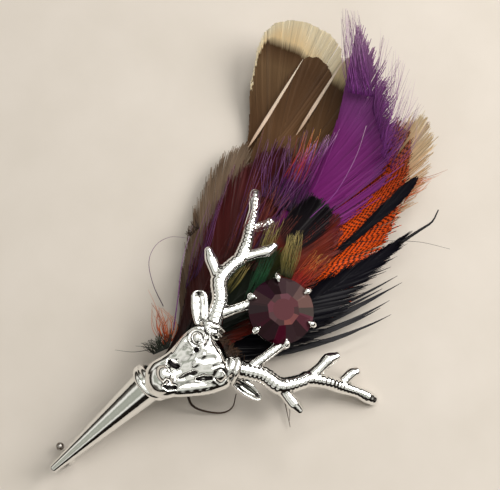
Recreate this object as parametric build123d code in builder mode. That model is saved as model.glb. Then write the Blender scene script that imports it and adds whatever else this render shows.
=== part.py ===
from build123d import *
from collections import namedtuple
from math import atan2, cos, degrees, pi, radians, sin, tan
import os

# Stag head brooch, lying on a table: a cast stag's head over the mouth of a cone with a plume.
# Millimetres. +Y runs from the cone's tip to the antlers, +X is the side it leans to, +Z is up.
# The casting is laid out level, about its own middle, and then rolled onto its right antler.

# The stone and its claw setting
STONE_DIAMETER = 12.0
TABLE_WIDTH = 5.6
CULET_WIDTH = 3.2
GIRDLE = 0.4
CROWN = 1.7
PAVILION = 2.1
FACETS = 8
BREAK_ANGLE = 40.0       # how steep the small facets round the girdle are
STONE_SIDE = -0.6        # the stone sits a little to the left of the stag's middle
STONE_HEIGHT = 10.5
STONE_LEAN = 11.0        # degrees that its face leans towards the antlers
SETTING_GAP = 0.14
CUP_WALL = 0.8
CUP_SPAN = 2.1
CLAW_WIRE = 0.6
CLAW_BALL = 1.0
CLAW_COUNT = 6
CLAW_TURN = 37.0         # degrees from the stone's +X to the first claw
CLAW_TAPER = 0.96        # from one end of a claw's bar to the other
CLAW_KNUCKLE = 1.08      # how thick a claw's bend is, next to its bar
CLAW_REST = 0.85         # how high a claw's ball sits over the girdle, as a share of the ball

# The cone that holds the plume
CONE_LENGTH = 24.2
CONE_TIP_RADIUS = 0.75
CONE_MOUTH_RADIUS = 3.3
CONE_TURN = 11.7         # degrees that the cone turns from the stag's own line
CONE_FALL = 7.7          # degrees that its tip hangs lower than its mouth
RIM_WIRE = 1.0
SOCKET_WALL = 0.32
SOCKET_DEPTH = 7.0
MOUTH_SIDE = -1.15
MOUTH_BACK = 25.9        # from the stone's middle back to the mouth
MOUTH_HEIGHT = 8.4

# The head, nose to poll
HEAD_LENGTH = 14.2
HEAD_WIDTH = 11.5
HEAD_DEPTH = 5.5
HEAD_HEIGHT = 12.4
NOSE_BACK = 25.5
NOSE_BALL = 2.9
EYE_BALL = 2.5
EYE_ANGLES = (148.0, 57.0)       # where the eyes sit on the widest section, left and right
EYE_SINK = 0.94
EYELID_WIRE = 0.5
EYE_TILT = 0.4           # how far the eyes look up
EAR_LENGTH = 6.6
EAR_WIDTH = 3.0
EAR_THICKNESS = 1.1
EAR_SPREAD = 9.6
EAR_BACK = 13.4
EAR_HEIGHT = 11.4
EAR_RUN = (0.94, 0.33, -0.1)     # from the head to the tip: out, ahead and up
EAR_TILT = 0.15          # how far the hollow leans ahead
EAR_HOLLOW = 0.6         # the hollow's length, as a share of the ear's
EAR_HOLLOW_WIDTH = 0.52
EAR_HOLLOW_MIDDLE = 0.55

# The antlers, one side; the other is its mirror image
ANTLER_SPREAD = 21.6     # from the stag's middle to a tip
ANTLER_REACH = 19.4      # from the burr to the tip, along the stag
ANTLER_FALL = 7.4        # from the burr down to the tip
ANTLER_HEIGHT = 11.3
BURR_BACK = 12.2
BEAM_DIAMETER = 2.6
BETWEEN_KNUCKLES = 0.9   # how thick a beam is between two knuckles, next to them
BAR_TAPER = 0.99
BROW_ANGLES = (-133.0, -26.0)    # where the brow tines meet the cup, left and right

# How the casting lies
ROLL = 7.5
STEEP = 25.0             # a bar closer to upright than this has its seam on a side

# The pin, its hinge and its catch
PIN_WIRE = 0.9
PIN_GAP = 0.14
PIN_POINT = 2.2          # how far the point reaches past the catch
PIN_TAPER = (1.0, 0.98, 0.9, 0.25)     # how thick the wire is, from its eye to its point
CATCH_STRIP = 0.5
CATCH_WIDTH = 1.6
CATCH_FROM_TIP = 3.7
CATCH_KNOB = 1.5
CATCH_LEVER = 2.7        # from the pin out to the thumb knob
CATCH_KNOB_HEIGHT = 1.75
HINGE_FROM_MOUTH = 4.6
HINGE_PLATE = 0.6
HINGE_EYE = 2.0
HINGE_WIDTH = 1.2
HINGE_HEIGHT = 1.9
RIVET_DIAMETER = 0.9

# The plume: feathers in thin sheets, one over the other, that fan out from the mouth
PLUME_REACH = 82.0
PLUME_RISE = 12.5        # how high the lowest feather would be at the end of the reach
PLUME_STACK = 6.8        # from the lowest sheet to the highest where the plume is thickest
PLUME_LAYERS = 10
PLUME_WIDTH = 17.0       # of its widest feather
BLADE_SHARE = 0.66       # of a sheet's share of the stack, the rest is air
QUILL_FLOOR = 2.1        # how far under the socket's middle the lowest quill lies
QUILL_WIDTH = 0.9
QUILL_SHARE = 0.85       # how thick a quill is, next to its blade
QUILL_DEPTH = 3.0
TURN_LENGTH = 0.17 * PLUME_REACH      # over which a feather turns from the cone's line to its own
PATH_STEPS = 80

Station = namedtuple("Station", "out along fall thick")
Tine = namedtuple("Tine", "root out along fall thick_root thick_tip")
Section = namedtuple("Section", "along side wide height deep")
EarSection = namedtuple("EarSection", "along wide thick")
Ring = namedtuple("Ring", "reach floor rise stack")
Feather = namedtuple("Feather", "name layer slot lean curl length width shape splits")

# Shares of ANTLER_SPREAD, ANTLER_REACH, ANTLER_FALL and BEAM_DIAMETER, from the burr to the tip
BEAM = (
    Station(0.200, 0.000, 0.000, 1.32),
    Station(0.370, 0.200, 0.080, 1.04),
    Station(0.505, 0.280, 0.150, 1.10),
    Station(0.560, 0.455, 0.270, 0.98),
    Station(0.575, 0.550, 0.365, 1.00),
    Station(0.667, 0.680, 0.500, 0.88),
    Station(0.760, 0.780, 0.690, 0.86),
    Station(0.900, 0.930, 0.850, 0.80),
    Station(1.000, 1.000, 1.000, 0.76),
)
# A tine starts at a station of the beam and ends at its own shares
TINES = (
    Tine(2, 0.760, 0.327, 0.230, 0.95, 0.60),
    Tine(4, 0.532, 0.887, 0.440, 0.72, 0.88),
    Tine(6, 0.727, 0.990, 0.770, 0.50, 0.40),
)
BROW_ROOT = Station(0.260, 0.085, 0.030, 0.80)
BROW_THICK = 0.62

# Shares of HEAD_LENGTH, HEAD_WIDTH, HEAD_DEPTH and HEAD_DEPTH, from the nose to the poll
HEAD = (
    Section(0.000, -0.045, 0.210, 0.180, 0.350),
    Section(0.060, -0.035, 0.430, 0.150, 0.680),
    Section(0.185, 0.020, 0.560, 0.120, 0.800),
    Section(0.390, 0.050, 0.640, 0.080, 0.800),
    Section(0.530, 0.070, 0.830, 0.010, 0.950),
    Section(0.670, 0.080, 0.990, -0.030, 1.040),
    Section(0.810, 0.050, 0.930, -0.070, 0.950),
    Section(0.930, 0.020, 0.700, -0.090, 0.760),
    Section(1.000, 0.000, 0.440, -0.100, 0.550),
)
# Shares of EAR_LENGTH, EAR_WIDTH and EAR_THICKNESS, from the head to the tip
EAR = (
    EarSection(0.00, 0.55, 1.00),
    EarSection(0.30, 0.95, 1.00),
    EarSection(0.65, 0.90, 0.85),
    EarSection(1.00, 0.45, 0.50),
)
# The sheets' height on rings about the mouth: shares of PLUME_REACH, of the lowest quill's
# height, of PLUME_RISE and of PLUME_STACK
RINGS = (
    Ring(0.00, 1.00, 0.00, 0.59),
    Ring(0.03, 1.00, 0.00, 0.59),
    Ring(0.08, 0.68, 0.00, 0.74),
    Ring(0.14, 0.37, 0.00, 0.87),
    Ring(0.24, 0.08, 0.00, 0.97),
    Ring(0.32, 0.00, 0.00, 1.00),
    Ring(0.50, 0.00, 0.00, 0.94),
    Ring(0.58, 0.00, 0.06, 0.90),
    Ring(0.66, 0.00, 0.18, 0.85),
    Ring(0.78, 0.00, 0.46, 0.78),
    Ring(0.89, 0.00, 0.74, 0.68),
    Ring(1.00, 0.00, 1.00, 0.58),
)
# How wide a vane is along its length: shares of the length and of the width
SHAPES = {
    "round": ((0.07, 0.12), (0.20, 0.42), (0.42, 0.76), (0.66, 1.00), (0.84, 0.94), (0.95, 0.58)),
    "pointed": ((0.08, 0.16), (0.25, 0.60), (0.48, 1.00), (0.70, 0.90), (0.86, 0.52), (0.95, 0.22)),
    "strip": ((0.10, 0.50), (0.40, 1.00), (0.70, 1.00), (0.85, 0.80), (0.95, 0.40)),
}
# Slot is millimetres across the mouth, lean and curl are degrees, length and width are shares of
# PLUME_REACH and PLUME_WIDTH, and splits are the breaks in each side of the vane, along the length
FEATHERS = (
    Feather("cream_feather_left", 0, -0.3, 38.2, 5.7, 0.878, 1.000, "round", (0.45, 0.62, 0.80)),
    Feather("cream_feather_right", 1, 1.0, 8.4, 24.7, 0.854, 0.706, "round", (0.52, 0.73)),
    Feather("cream_feather_middle", 2, -1.0, 38.5, -7.9, 0.817, 0.706, "round", (0.58, 0.84)),
    Feather("cream_feather_high", 3, 0.6, 29.3, 5.7, 0.866, 0.647, "round", (0.50, 0.77)),
    Feather("tan_feather", 4, -1.6, 50.9, -22.2, 0.578, 0.441, "pointed", (0.40, 0.66)),
    Feather("orange_feather", 5, 1.3, 6.9, 16.3, 0.782, 0.824, "pointed", (0.38, 0.60, 0.78)),
    Feather("burgundy_feather", 6, -1.4, 41.7, -22.5, 0.610, 0.647, "pointed", (0.35, 0.63)),
    Feather("black_strip", 6, 1.6, 8.4, 7.4, 0.739, 0.118, "strip", ()),
    Feather("black_feather", 7, 1.7, -3.8, 13.6, 0.665, 0.500, "pointed", (0.42, 0.62, 0.80)),
    Feather("purple_feather", 8, -0.3, 15.7, 49.4, 0.960, 0.882, "pointed", (0.44, 0.60, 0.75)),
    Feather("rust_feather", 9, 0.3, 13.3, 22.2, 0.568, 0.647, "pointed", (0.48, 0.72)),
    Feather("green_feather", 10, -0.3, 16.5, 0.5, 0.441, 0.559, "round", (0.40, 0.62, 0.82)),
)
SPLIT_MOUTH = 1.1        # how wide a break is at the vane's edge
SPLIT_DEPTH = 0.62       # how far in it runs, as a share of the half width
SPLIT_BACK = 3.6         # how far back towards the root it runs
SPLIT_START = 1.2        # how far out it starts, past the half width
BIOTS = (
    Feather("biot", 4, 1.5, -12.0, 10.0, 0.561, 0.088, "strip", ()),
    Feather("biot", 4, 1.5, -15.0, 16.0, 0.579, 0.088, "strip", ()),
    Feather("biot", 4, 1.5, -18.5, 20.0, 0.561, 0.088, "strip", ()),
    Feather("biot", 4, 1.5, -22.0, 22.0, 0.524, 0.088, "strip", ()),
    Feather("biot", 4, 1.5, -26.0, 22.0, 0.488, 0.082, "strip", ()),
)

stone_radius = STONE_DIAMETER / 2

# The casting's own level frame, rolled so that the right antler's tip just touches the table
tip_radius = BEAM_DIAMETER / 2 * BEAM[-1].thick
tip_height = ANTLER_HEIGHT - ANTLER_FALL
lift = tip_radius + ANTLER_SPREAD * sin(radians(ROLL)) - tip_height * cos(radians(ROLL))
lying = Plane(
    origin=(0, 0, lift),
    x_dir=(cos(radians(ROLL)), 0, -sin(radians(ROLL))),
    z_dir=(sin(radians(ROLL)), 0, cos(radians(ROLL))),
)


def at(x, y, z):
    """A point of the level casting where it lies."""
    return lying.from_local_coords(Vector(x, y, z))


def along(x, y, z):
    """A direction of the level casting as it lies."""
    return at(x, y, z) - at(0, 0, 0)


def facing(origin, run):
    """A plane that looks along a run, with its x axis turned underneath, out of sight."""
    under = along(0, 0, -1)
    if abs(run.normalized().dot(under)) > cos(radians(STEEP)):
        under = along(1, 0, 0)
    return Plane(origin=origin, x_dir=under, z_dir=run)


def ball(centre, radius, run):
    """A ball with its poles along a run, added to the part being built."""
    with Locations(facing(centre, run)):
        Sphere(radius)


def bar(start, end, start_radius, end_radius):
    """A round tapered bar from point to point, added to the part being built."""
    run = end - start
    with Locations(facing(start, run)):
        Cone(start_radius, end_radius, run.length, align=(Align.CENTER, Align.CENTER, Align.MIN))


def horn(points, radii):
    """A chain of tapered bars with a knuckle at each point, added to the part being built."""
    for index, (point, radius) in enumerate(zip(points, radii)):
        ahead = points[min(index + 1, len(points) - 1)]
        behind = points[max(index - 1, 0)]
        ball(point, radius, ahead - behind)
    for start, end, start_radius, end_radius in zip(points, points[1:], radii, radii[1:]):
        bar(start, end, start_radius * BETWEEN_KNUCKLES, end_radius * BETWEEN_KNUCKLES * BAR_TAPER)


# The cone's line, from its mouth to its tip
mouth = at(MOUTH_SIDE, -MOUTH_BACK, MOUTH_HEIGHT)
cone_line = along(
    sin(radians(CONE_TURN)) * cos(radians(CONE_FALL)),
    -cos(radians(CONE_TURN)) * cos(radians(CONE_FALL)),
    -sin(radians(CONE_FALL)),
)
tip = mouth + cone_line * CONE_LENGTH
cone_plane = Plane(origin=tip, z_dir=mouth - tip)
cone_taper = (CONE_MOUTH_RADIUS - CONE_TIP_RADIUS) / CONE_LENGTH
socket_mouth_radius = CONE_MOUTH_RADIUS - SOCKET_WALL
socket_floor_radius = socket_mouth_radius - cone_taper * SOCKET_DEPTH
plume_heading = atan2(tip.X - mouth.X, mouth.Y - tip.Y)

# The stone's plane, through its girdle
stone_middle = at(STONE_SIDE, 0, STONE_HEIGHT)
stone_up = along(0, sin(radians(STONE_LEAN)), cos(radians(STONE_LEAN)))
stone_plane = Plane(origin=stone_middle, x_dir=along(1, 0, 0), z_dir=stone_up)


def on_stone(radius, angle, height):
    """A point by its distance from the stone's middle, its angle and its height over the girdle."""
    x = radius * cos(radians(angle))
    y = radius * sin(radians(angle))
    return stone_plane.from_local_coords(Vector(x, y, height))


def beam_point(station, side):
    """A station of an antler's beam, on the left (-1) or the right (1)."""
    x = side * station.out * ANTLER_SPREAD
    y = station.along * ANTLER_REACH - BURR_BACK
    return at(x, y, ANTLER_HEIGHT - station.fall * ANTLER_FALL)


# Stone: a round blank cut by a table, crown facets, small break facets and pavilion facets
crown_top = GIRDLE / 2 + CROWN
pavilion_low = -GIRDLE / 2 - PAVILION
crown_slope = CROWN / (stone_radius - TABLE_WIDTH / 2)
pavilion_slope = PAVILION / (stone_radius - CULET_WIDTH / 2)
blank = CROWN + GIRDLE + PAVILION
break_run = blank / tan(radians(BREAK_ANGLE))


def cut_facets(sides, low_radius, high_radius, turn):
    """Cut the blank by a pyramid's flat sides, given their distance from the middle."""
    with BuildSketch(stone_plane.offset(pavilion_low)) as low:
        RegularPolygon(low_radius, sides, major_radius=False, rotation=turn)
    with BuildSketch(stone_plane.offset(crown_top)) as high:
        RegularPolygon(high_radius, sides, major_radius=False, rotation=turn)
    loft([low.sketch, high.sketch], ruled=True, mode=Mode.INTERSECT)


with BuildPart() as stone:
    with BuildSketch(stone_plane.offset(pavilion_low)):
        Circle(stone_radius)
    extrude(amount=blank)
    cut_facets(FACETS, TABLE_WIDTH / 2 + blank / crown_slope, TABLE_WIDTH / 2, 0)
    cut_facets(FACETS, CULET_WIDTH / 2, CULET_WIDTH / 2 + blank / pavilion_slope, 0)
    break_top = stone_radius - CROWN / tan(radians(BREAK_ANGLE))
    cut_facets(2 * FACETS, break_top + break_run, break_top, 90 / FACETS)

# Casting: all the soldered metal
cup_outer = stone_radius - SETTING_GAP
cup_inner = cup_outer - CUP_SPAN
corner_slope = pavilion_slope * cos(pi / FACETS)
cup_top = -GIRDLE / 2 - stone_radius * pavilion_slope + cup_outer * corner_slope - SETTING_GAP
cup_low = cup_top - CUP_SPAN * corner_slope
brow_radius = BROW_THICK * BEAM_DIAMETER / 2
claw_radius = CLAW_WIRE / 2
claw_out = stone_radius + claw_radius + SETTING_GAP
claw_foot = cup_top - CUP_WALL / 2
claw_knee = GIRDLE / 2 + claw_radius / 2
claw_rise = claw_knee + CLAW_BALL * CLAW_REST
claw_radii = [claw_radius * CLAW_TAPER**bend for bend in range(4)]
claw_in = stone_radius - CLAW_BALL / 4
catch_from_mouth = CONE_LENGTH - CATCH_FROM_TIP
catch_outer = PIN_WIRE / 2 + PIN_GAP + CATCH_STRIP


def cone_middle(distance):
    """The point of the cone's line at a distance from its mouth."""
    return mouth + cone_line * distance


def upright(distance):
    """An upright plane across the cone, x to the right and y up, at the table's height."""
    middle_point = cone_middle(distance)
    back = Vector(cone_line.X, cone_line.Y, 0).normalized()
    return Plane(
        origin=(middle_point.X, middle_point.Y, 0),
        x_dir=(-back.Y, back.X, 0),
        z_dir=back,
    )


# Antlers: the left one's beam and tines, and its mirror image
with BuildPart() as left_antler:
    points = [beam_point(station, -1) for station in BEAM]
    horn(points, [station.thick * BEAM_DIAMETER / 2 for station in BEAM])
    for tine in TINES:
        end = beam_point(Station(tine.out, tine.along, tine.fall, tine.thick_tip), -1)
        end_radius = tine.thick_tip * BEAM_DIAMETER / 2
        bar(points[tine.root], end, tine.thick_root * BEAM_DIAMETER / 2, end_radius * BETWEEN_KNUCKLES)
        ball(end, end_radius, end - points[tine.root])

with BuildPart() as right_antler:
    mirror(left_antler.part, about=Plane(origin=lying.origin, z_dir=lying.x_dir))

# Cone with its rolled rim
with BuildPart() as cone:
    with Locations(cone_plane):
        Cone(
            CONE_TIP_RADIUS,
            CONE_MOUTH_RADIUS,
            CONE_LENGTH,
            align=(Align.CENTER, Align.CENTER, Align.MIN),
        )
    with Locations(cone_plane.offset(CONE_LENGTH)):
        Torus(CONE_MOUTH_RADIUS - RIM_WIRE / 4, RIM_WIRE / 2)

# Head with its nose ball, and the solder that ties the muzzle to the rim
with BuildPart() as head:
    for section in HEAD:
        place = at(
            section.side * HEAD_WIDTH,
            section.along * HEAD_LENGTH - NOSE_BACK,
            HEAD_HEIGHT + section.height * HEAD_DEPTH,
        )
        with BuildSketch(Plane(origin=place, x_dir=along(1, 0, 0), z_dir=along(0, 1, 0))):
            Ellipse(section.wide * HEAD_WIDTH / 2, section.deep * HEAD_DEPTH / 2)
    loft()
    nose_x = HEAD[0].side * HEAD_WIDTH
    nose_y = HEAD[1].along * HEAD_LENGTH - NOSE_BACK
    nose_z = HEAD_HEIGHT + HEAD[0].height * HEAD_DEPTH + NOSE_BALL / 6
    ball(at(nose_x, nose_y, nose_z), NOSE_BALL / 2, along(0, -1, 0))
    rim_top = MOUTH_HEIGHT + CONE_MOUTH_RADIUS + RIM_WIRE / 4
    ball(at(nose_x, RIM_WIRE / 2 - MOUTH_BACK, rim_top), RIM_WIRE, along(0, 0, 1))

    # Eyes with their lids, on the widest section
    brow = max(HEAD, key=lambda section: section.wide)
    for angle in EYE_ANGLES:
        eye_x = brow.side * HEAD_WIDTH + brow.wide * HEAD_WIDTH / 2 * EYE_SINK * cos(radians(angle))
        eye_z = brow.height * HEAD_DEPTH + brow.deep * HEAD_DEPTH / 2 * EYE_SINK * sin(radians(angle))
        eye = at(eye_x, brow.along * HEAD_LENGTH - NOSE_BACK, HEAD_HEIGHT + eye_z)
        looking = along(cos(radians(angle)), 0, sin(radians(angle)) + EYE_TILT)
        ball(eye, EYE_BALL / 2, looking)
        with Locations(Plane(origin=eye, z_dir=looking)):
            Torus(EYE_BALL / 2 + EYELID_WIRE / 4, EYELID_WIRE / 2)

    # Ears: leaves that stand out from the head, hollowed from above
    for side in (-1, 1):
        root = at(side * EAR_SPREAD / 2, -EAR_BACK, EAR_HEIGHT)
        ear_line = along(side * EAR_RUN[0], EAR_RUN[1], EAR_RUN[2]).normalized()
        ear_up = along(0, EAR_TILT, 1).normalized()
        across = ear_up.cross(ear_line)
        for section in EAR:
            place = root + ear_line * (section.along * EAR_LENGTH)
            with BuildSketch(Plane(origin=place, x_dir=across, z_dir=ear_line)):
                Ellipse(section.wide * EAR_WIDTH / 2, section.thick * EAR_THICKNESS / 2)
        loft()
        hollow = root + ear_line * (EAR_LENGTH * EAR_HOLLOW_MIDDLE) + ear_up * (EAR_THICKNESS / 2)
        with Locations(Plane(origin=hollow, z_dir=ear_line)):
            Cylinder(EAR_WIDTH * EAR_HOLLOW_WIDTH / 2, EAR_LENGTH * EAR_HOLLOW, mode=Mode.SUBTRACT)

# Claw cup: a ring under the pavilion, and claws round the girdle
with BuildPart() as claw_cup:
    with BuildSketch(Plane(origin=stone_middle, x_dir=along(1, 0, 0), z_dir=stone_plane.y_dir * -1)):
        with BuildLine():
            Polyline(
                (cup_inner, cup_low),
                (cup_outer, cup_top),
                (cup_outer, cup_top - CUP_WALL),
                (cup_inner, cup_low - CUP_WALL / 2),
                close=True,
            )
        make_face()
    revolve(axis=Axis(stone_middle, stone_up))
    for claw in range(CLAW_COUNT):
        angle = CLAW_TURN + claw * 360 / CLAW_COUNT
        root = on_stone(cup_outer - CUP_SPAN / 3, angle, claw_foot - claw_radius)
        foot = on_stone(claw_out, angle, claw_foot)
        knee = on_stone(claw_out, angle, claw_knee)
        end = on_stone(claw_in, angle, claw_rise)
        bar(root, foot, claw_radii[0], claw_radii[1])
        ball(foot, claw_radius * CLAW_KNUCKLE, knee - foot)
        bar(foot, knee, claw_radii[1], claw_radii[2])
        ball(knee, claw_radius * CLAW_KNUCKLE, knee - foot)
        bar(knee, end, claw_radii[2], claw_radii[3])
        ball(end, CLAW_BALL / 2, end - knee)

# Catch: a strip bent round the pin, open on the left, with a thumb knob
with BuildPart() as catch:
    with BuildSketch(upright(catch_from_mouth).offset(-CATCH_WIDTH / 2)):
        with Locations((0, catch_outer)):
            Circle(catch_outer)
            Circle(catch_outer - CATCH_STRIP, mode=Mode.SUBTRACT)
            with Locations((-catch_outer, catch_outer / 2)):
                Rectangle(2 * catch_outer, catch_outer, mode=Mode.SUBTRACT)
        post_height = cone_middle(catch_from_mouth).Z - catch_outer
        with Locations((catch_outer - CATCH_STRIP / 2, catch_outer)):
            Rectangle(CATCH_STRIP, post_height, align=(Align.CENTER, Align.MIN))
        with Locations((catch_outer, catch_outer + post_height)):
            Rectangle(catch_outer, CATCH_STRIP, align=(Align.MAX, Align.MAX))
    extrude(amount=CATCH_WIDTH)
    catch_plane = upright(catch_from_mouth)
    lever_root = catch_plane.from_local_coords(Vector(-catch_outer + CATCH_STRIP / 2, catch_outer, 0))
    lever_end = catch_plane.from_local_coords(Vector(-CATCH_LEVER, CATCH_KNOB_HEIGHT, 0))
    bar(lever_root, lever_end, CATCH_STRIP / 2, CATCH_STRIP / 2 * BAR_TAPER)
    ball(lever_end, CATCH_KNOB / 2, lever_end - lever_root)

# Hinge: two plates under the cone with a rivet between them
hinge_upright = upright(HINGE_FROM_MOUTH)
hinge_plane = Plane(hinge_upright.origin, x_dir=-hinge_upright.z_dir, z_dir=hinge_upright.x_dir)
plate_inside = HINGE_WIDTH / 2 + PIN_GAP
plate_height = cone_middle(HINGE_FROM_MOUTH).Z - HINGE_HEIGHT - CONE_MOUTH_RADIUS / 2
with BuildPart() as hinge:
    for side in (-1, 1):
        plate_plane = hinge_plane.offset(side * (plate_inside + HINGE_PLATE / 2) - HINGE_PLATE / 2)
        with BuildSketch(plate_plane):
            with Locations((0, HINGE_HEIGHT)):
                Circle(HINGE_EYE / 2)
                Rectangle(HINGE_EYE, plate_height, align=(Align.CENTER, Align.MIN))
        extrude(amount=HINGE_PLATE)
    with BuildSketch(hinge_plane.offset(-plate_inside - HINGE_PLATE / 2)):
        with Locations((0, HINGE_HEIGHT)):
            Circle(RIVET_DIAMETER / 2)
    extrude(amount=2 * plate_inside + HINGE_PLATE)

# Casting: all the soldered metal, with the socket bored last so that nothing reaches into it
with BuildPart() as stag_casting:
    add([cone.part, hinge.part, catch.part, head.part, claw_cup.part])
    add([left_antler.part, right_antler.part])
    for side, brow_angle in zip((-1, 1), BROW_ANGLES):
        brow_end = on_stone(cup_outer, brow_angle, cup_top - brow_radius - SETTING_GAP)
        bar(beam_point(BROW_ROOT, side), brow_end, BROW_ROOT.thick * BEAM_DIAMETER / 2, brow_radius)
    with Locations(cone_plane.offset(CONE_LENGTH + RIM_WIRE)):
        Cone(
            socket_floor_radius,
            socket_mouth_radius,
            SOCKET_DEPTH + RIM_WIRE,
            align=(Align.CENTER, Align.CENTER, Align.MAX),
            mode=Mode.SUBTRACT,
        )

# Brooch pin: an eye on the rivet and a wire that ends in a point past the catch
pin_radii = [PIN_WIRE / 2 * share for share in PIN_TAPER]


def on_pin(distance, height):
    """A point of the pin's line, by its distance from the cone's mouth."""
    return upright(distance).from_local_coords(Vector(0, height, 0))


with BuildPart() as brooch_pin:
    with BuildSketch(hinge_plane.offset(-HINGE_WIDTH / 2)):
        with Locations((0, HINGE_HEIGHT)):
            Circle(HINGE_EYE / 2 - PIN_GAP)
    extrude(amount=HINGE_WIDTH)
    eye = on_pin(HINGE_FROM_MOUTH, HINGE_HEIGHT)
    in_catch = on_pin(catch_from_mouth - CATCH_WIDTH, catch_outer)
    past_catch = on_pin(catch_from_mouth + CATCH_WIDTH, catch_outer)
    point = on_pin(catch_from_mouth + PIN_POINT, catch_outer)
    bar(eye, in_catch, pin_radii[0], pin_radii[1])
    bar(in_catch, past_catch, pin_radii[1], pin_radii[2])
    bar(past_catch, point, pin_radii[2], pin_radii[3])
    with BuildSketch(hinge_plane.offset(-HINGE_WIDTH)):
        with Locations((0, HINGE_HEIGHT)):
            Circle(RIVET_DIAMETER / 2 + PIN_GAP)
    extrude(amount=2 * HINGE_WIDTH, mode=Mode.SUBTRACT)

# The plume's sheets, one table of heights for all
quill_height = mouth.Z - QUILL_FLOOR
pitch_share = 1 / PLUME_LAYERS
mouth_left = Vector(-cos(plume_heading), -sin(plume_heading), 0)


def sheet_height(ring, layer, up):
    """The height of a sheet on a ring, and up is 0 for its underside and 1 for its top."""
    floor = ring.floor * quill_height + ring.rise * PLUME_RISE
    return floor + ring.stack * PLUME_STACK * pitch_share * (layer + up * BLADE_SHARE)


def feather_path(feather):
    """Points and headings along a feather's rachis, seen from above."""
    x = mouth.X - mouth_left.X * feather.slot
    y = mouth.Y - mouth_left.Y * feather.slot
    start = degrees(plume_heading)
    length = feather.length * PLUME_REACH
    path = []
    for step in range(PATH_STEPS + 1):
        share = step / PATH_STEPS
        turned = min(1, share * length / TURN_LENGTH)
        turned = turned * turned * (3 - 2 * turned)
        heading = radians(start + (feather.lean - start) * turned + feather.curl * share**2)
        path.append((x, y, heading))
        x -= sin(heading) * length / PATH_STEPS
        y += cos(heading) * length / PATH_STEPS
    return path


def beside(path, share, out, back=0.0):
    """A point out to the right of the rachis, or to its left, and back towards the root."""
    x, y, heading = path[round(share * PATH_STEPS)]
    ahead = (-sin(heading), cos(heading))
    right = (cos(heading), sin(heading))
    return (x + right[0] * out - ahead[0] * back, y + right[1] * out - ahead[1] * back)


def vane(feather):
    """The outline of a vane with its breaks."""
    path = feather_path(feather)
    shape = SHAPES[feather.shape]
    half = feather.width * PLUME_WIDTH / 2
    quill = QUILL_WIDTH / 2
    right = [beside(path, share, wide * half) for share, wide in shape]
    left = [beside(path, share, -wide * half) for share, wide in reversed(shape)]
    root_right = beside(path, 0, quill)
    root_left = beside(path, 0, -quill)
    with BuildSketch() as outline:
        with BuildLine():
            Spline(root_right, *right, beside(path, 1, 0), *left, root_left)
            Line(root_left, root_right)
        make_face()
        for number, share in enumerate(feather.splits):
            side = 1 if number % 2 else -1
            edge = side * half
            with BuildLine():
                Polyline(
                    beside(path, share, edge * SPLIT_START, -SPLIT_MOUTH / 2),
                    beside(path, share, edge * SPLIT_START, SPLIT_MOUTH / 2),
                    beside(path, share, edge * (1 - SPLIT_DEPTH), SPLIT_BACK),
                    close=True,
                )
            make_face(mode=Mode.SUBTRACT)
    return outline.sketch


def build_sheet(layer):
    """A thin sheet of revolution about the mouth, added to the part being built."""
    under = [(ring.reach * PLUME_REACH, sheet_height(ring, layer, 0)) for ring in RINGS]
    over = [(ring.reach * PLUME_REACH, sheet_height(ring, layer, 1)) for ring in reversed(RINGS)]
    with BuildSketch(Plane(origin=(mouth.X, mouth.Y, 0), x_dir=(1, 0, 0), z_dir=(0, -1, 0))) as profile:
        with BuildLine():
            Polyline(*under, *over, close=True)
        make_face()
    revolve(profile.sketch, axis=Axis((mouth.X, mouth.Y, 0), (0, 0, 1)))


def build_quill(layer, slot):
    """A flat quill that runs back into the socket, added to the part being built."""
    low = sheet_height(RINGS[0], layer, 0)
    thick = sheet_height(RINGS[0], layer, 1) - low
    foot = Vector(mouth.X, mouth.Y, low + thick / 2) - mouth_left * slot - cone_line * thick
    with Locations(Plane(origin=foot, x_dir=mouth_left, z_dir=cone_line)):
        Box(
            QUILL_WIDTH,
            thick * QUILL_SHARE,
            QUILL_DEPTH + thick,
            align=(Align.CENTER, Align.CENTER, Align.MIN),
        )


def build_feather(vanes):
    """A feather: its sheet trimmed to the outline of its vanes, and its quill."""
    with BuildPart() as piece:
        build_sheet(vanes[0].layer)
        with BuildSketch():
            for one in vanes:
                add(vane(one))
        extrude(amount=PLUME_REACH, mode=Mode.INTERSECT)
        build_quill(vanes[0].layer, vanes[0].slot)
    return piece


pieces = {"stag_casting": stag_casting, "stone": stone, "brooch_pin": brooch_pin}
for feather in FEATHERS:
    pieces[feather.name] = build_feather([feather])
pieces["black_biots"] = build_feather(BIOTS)

# The origin is on the table, under the middle of the whole brooch
whole = Compound(children=[piece.part.moved(Location()) for piece in pieces.values()]).bounding_box()
home = Location((-whole.center().X, -whole.center().Y, -whole.min.Z))
os.makedirs("parts", exist_ok=True)
for name, piece in pieces.items():
    placed = piece.part.moved(home)
    placed.label = name
    export_step(placed, f"parts/{name}.step")
    print(name, round(placed.volume, 1), len(placed.solids()), placed.is_valid)
print("stone at", stone_middle + home.position, "mouth at", mouth + home.position)
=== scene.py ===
import bmesh
import bpy
import numpy as np
from collections import namedtuple
from functools import partial
from math import cos, pi, radians, sin
from mathutils import Matrix, Vector


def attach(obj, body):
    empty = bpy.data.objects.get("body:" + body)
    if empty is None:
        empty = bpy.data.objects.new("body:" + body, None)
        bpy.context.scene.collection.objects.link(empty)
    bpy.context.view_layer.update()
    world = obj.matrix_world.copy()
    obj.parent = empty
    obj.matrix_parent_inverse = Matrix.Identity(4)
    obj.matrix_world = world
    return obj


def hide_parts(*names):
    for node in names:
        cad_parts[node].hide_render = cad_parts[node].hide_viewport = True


# Stag head brooch lying on a table. Lengths below are millimetres and MM turns them to metres.
MM = 0.001

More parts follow.
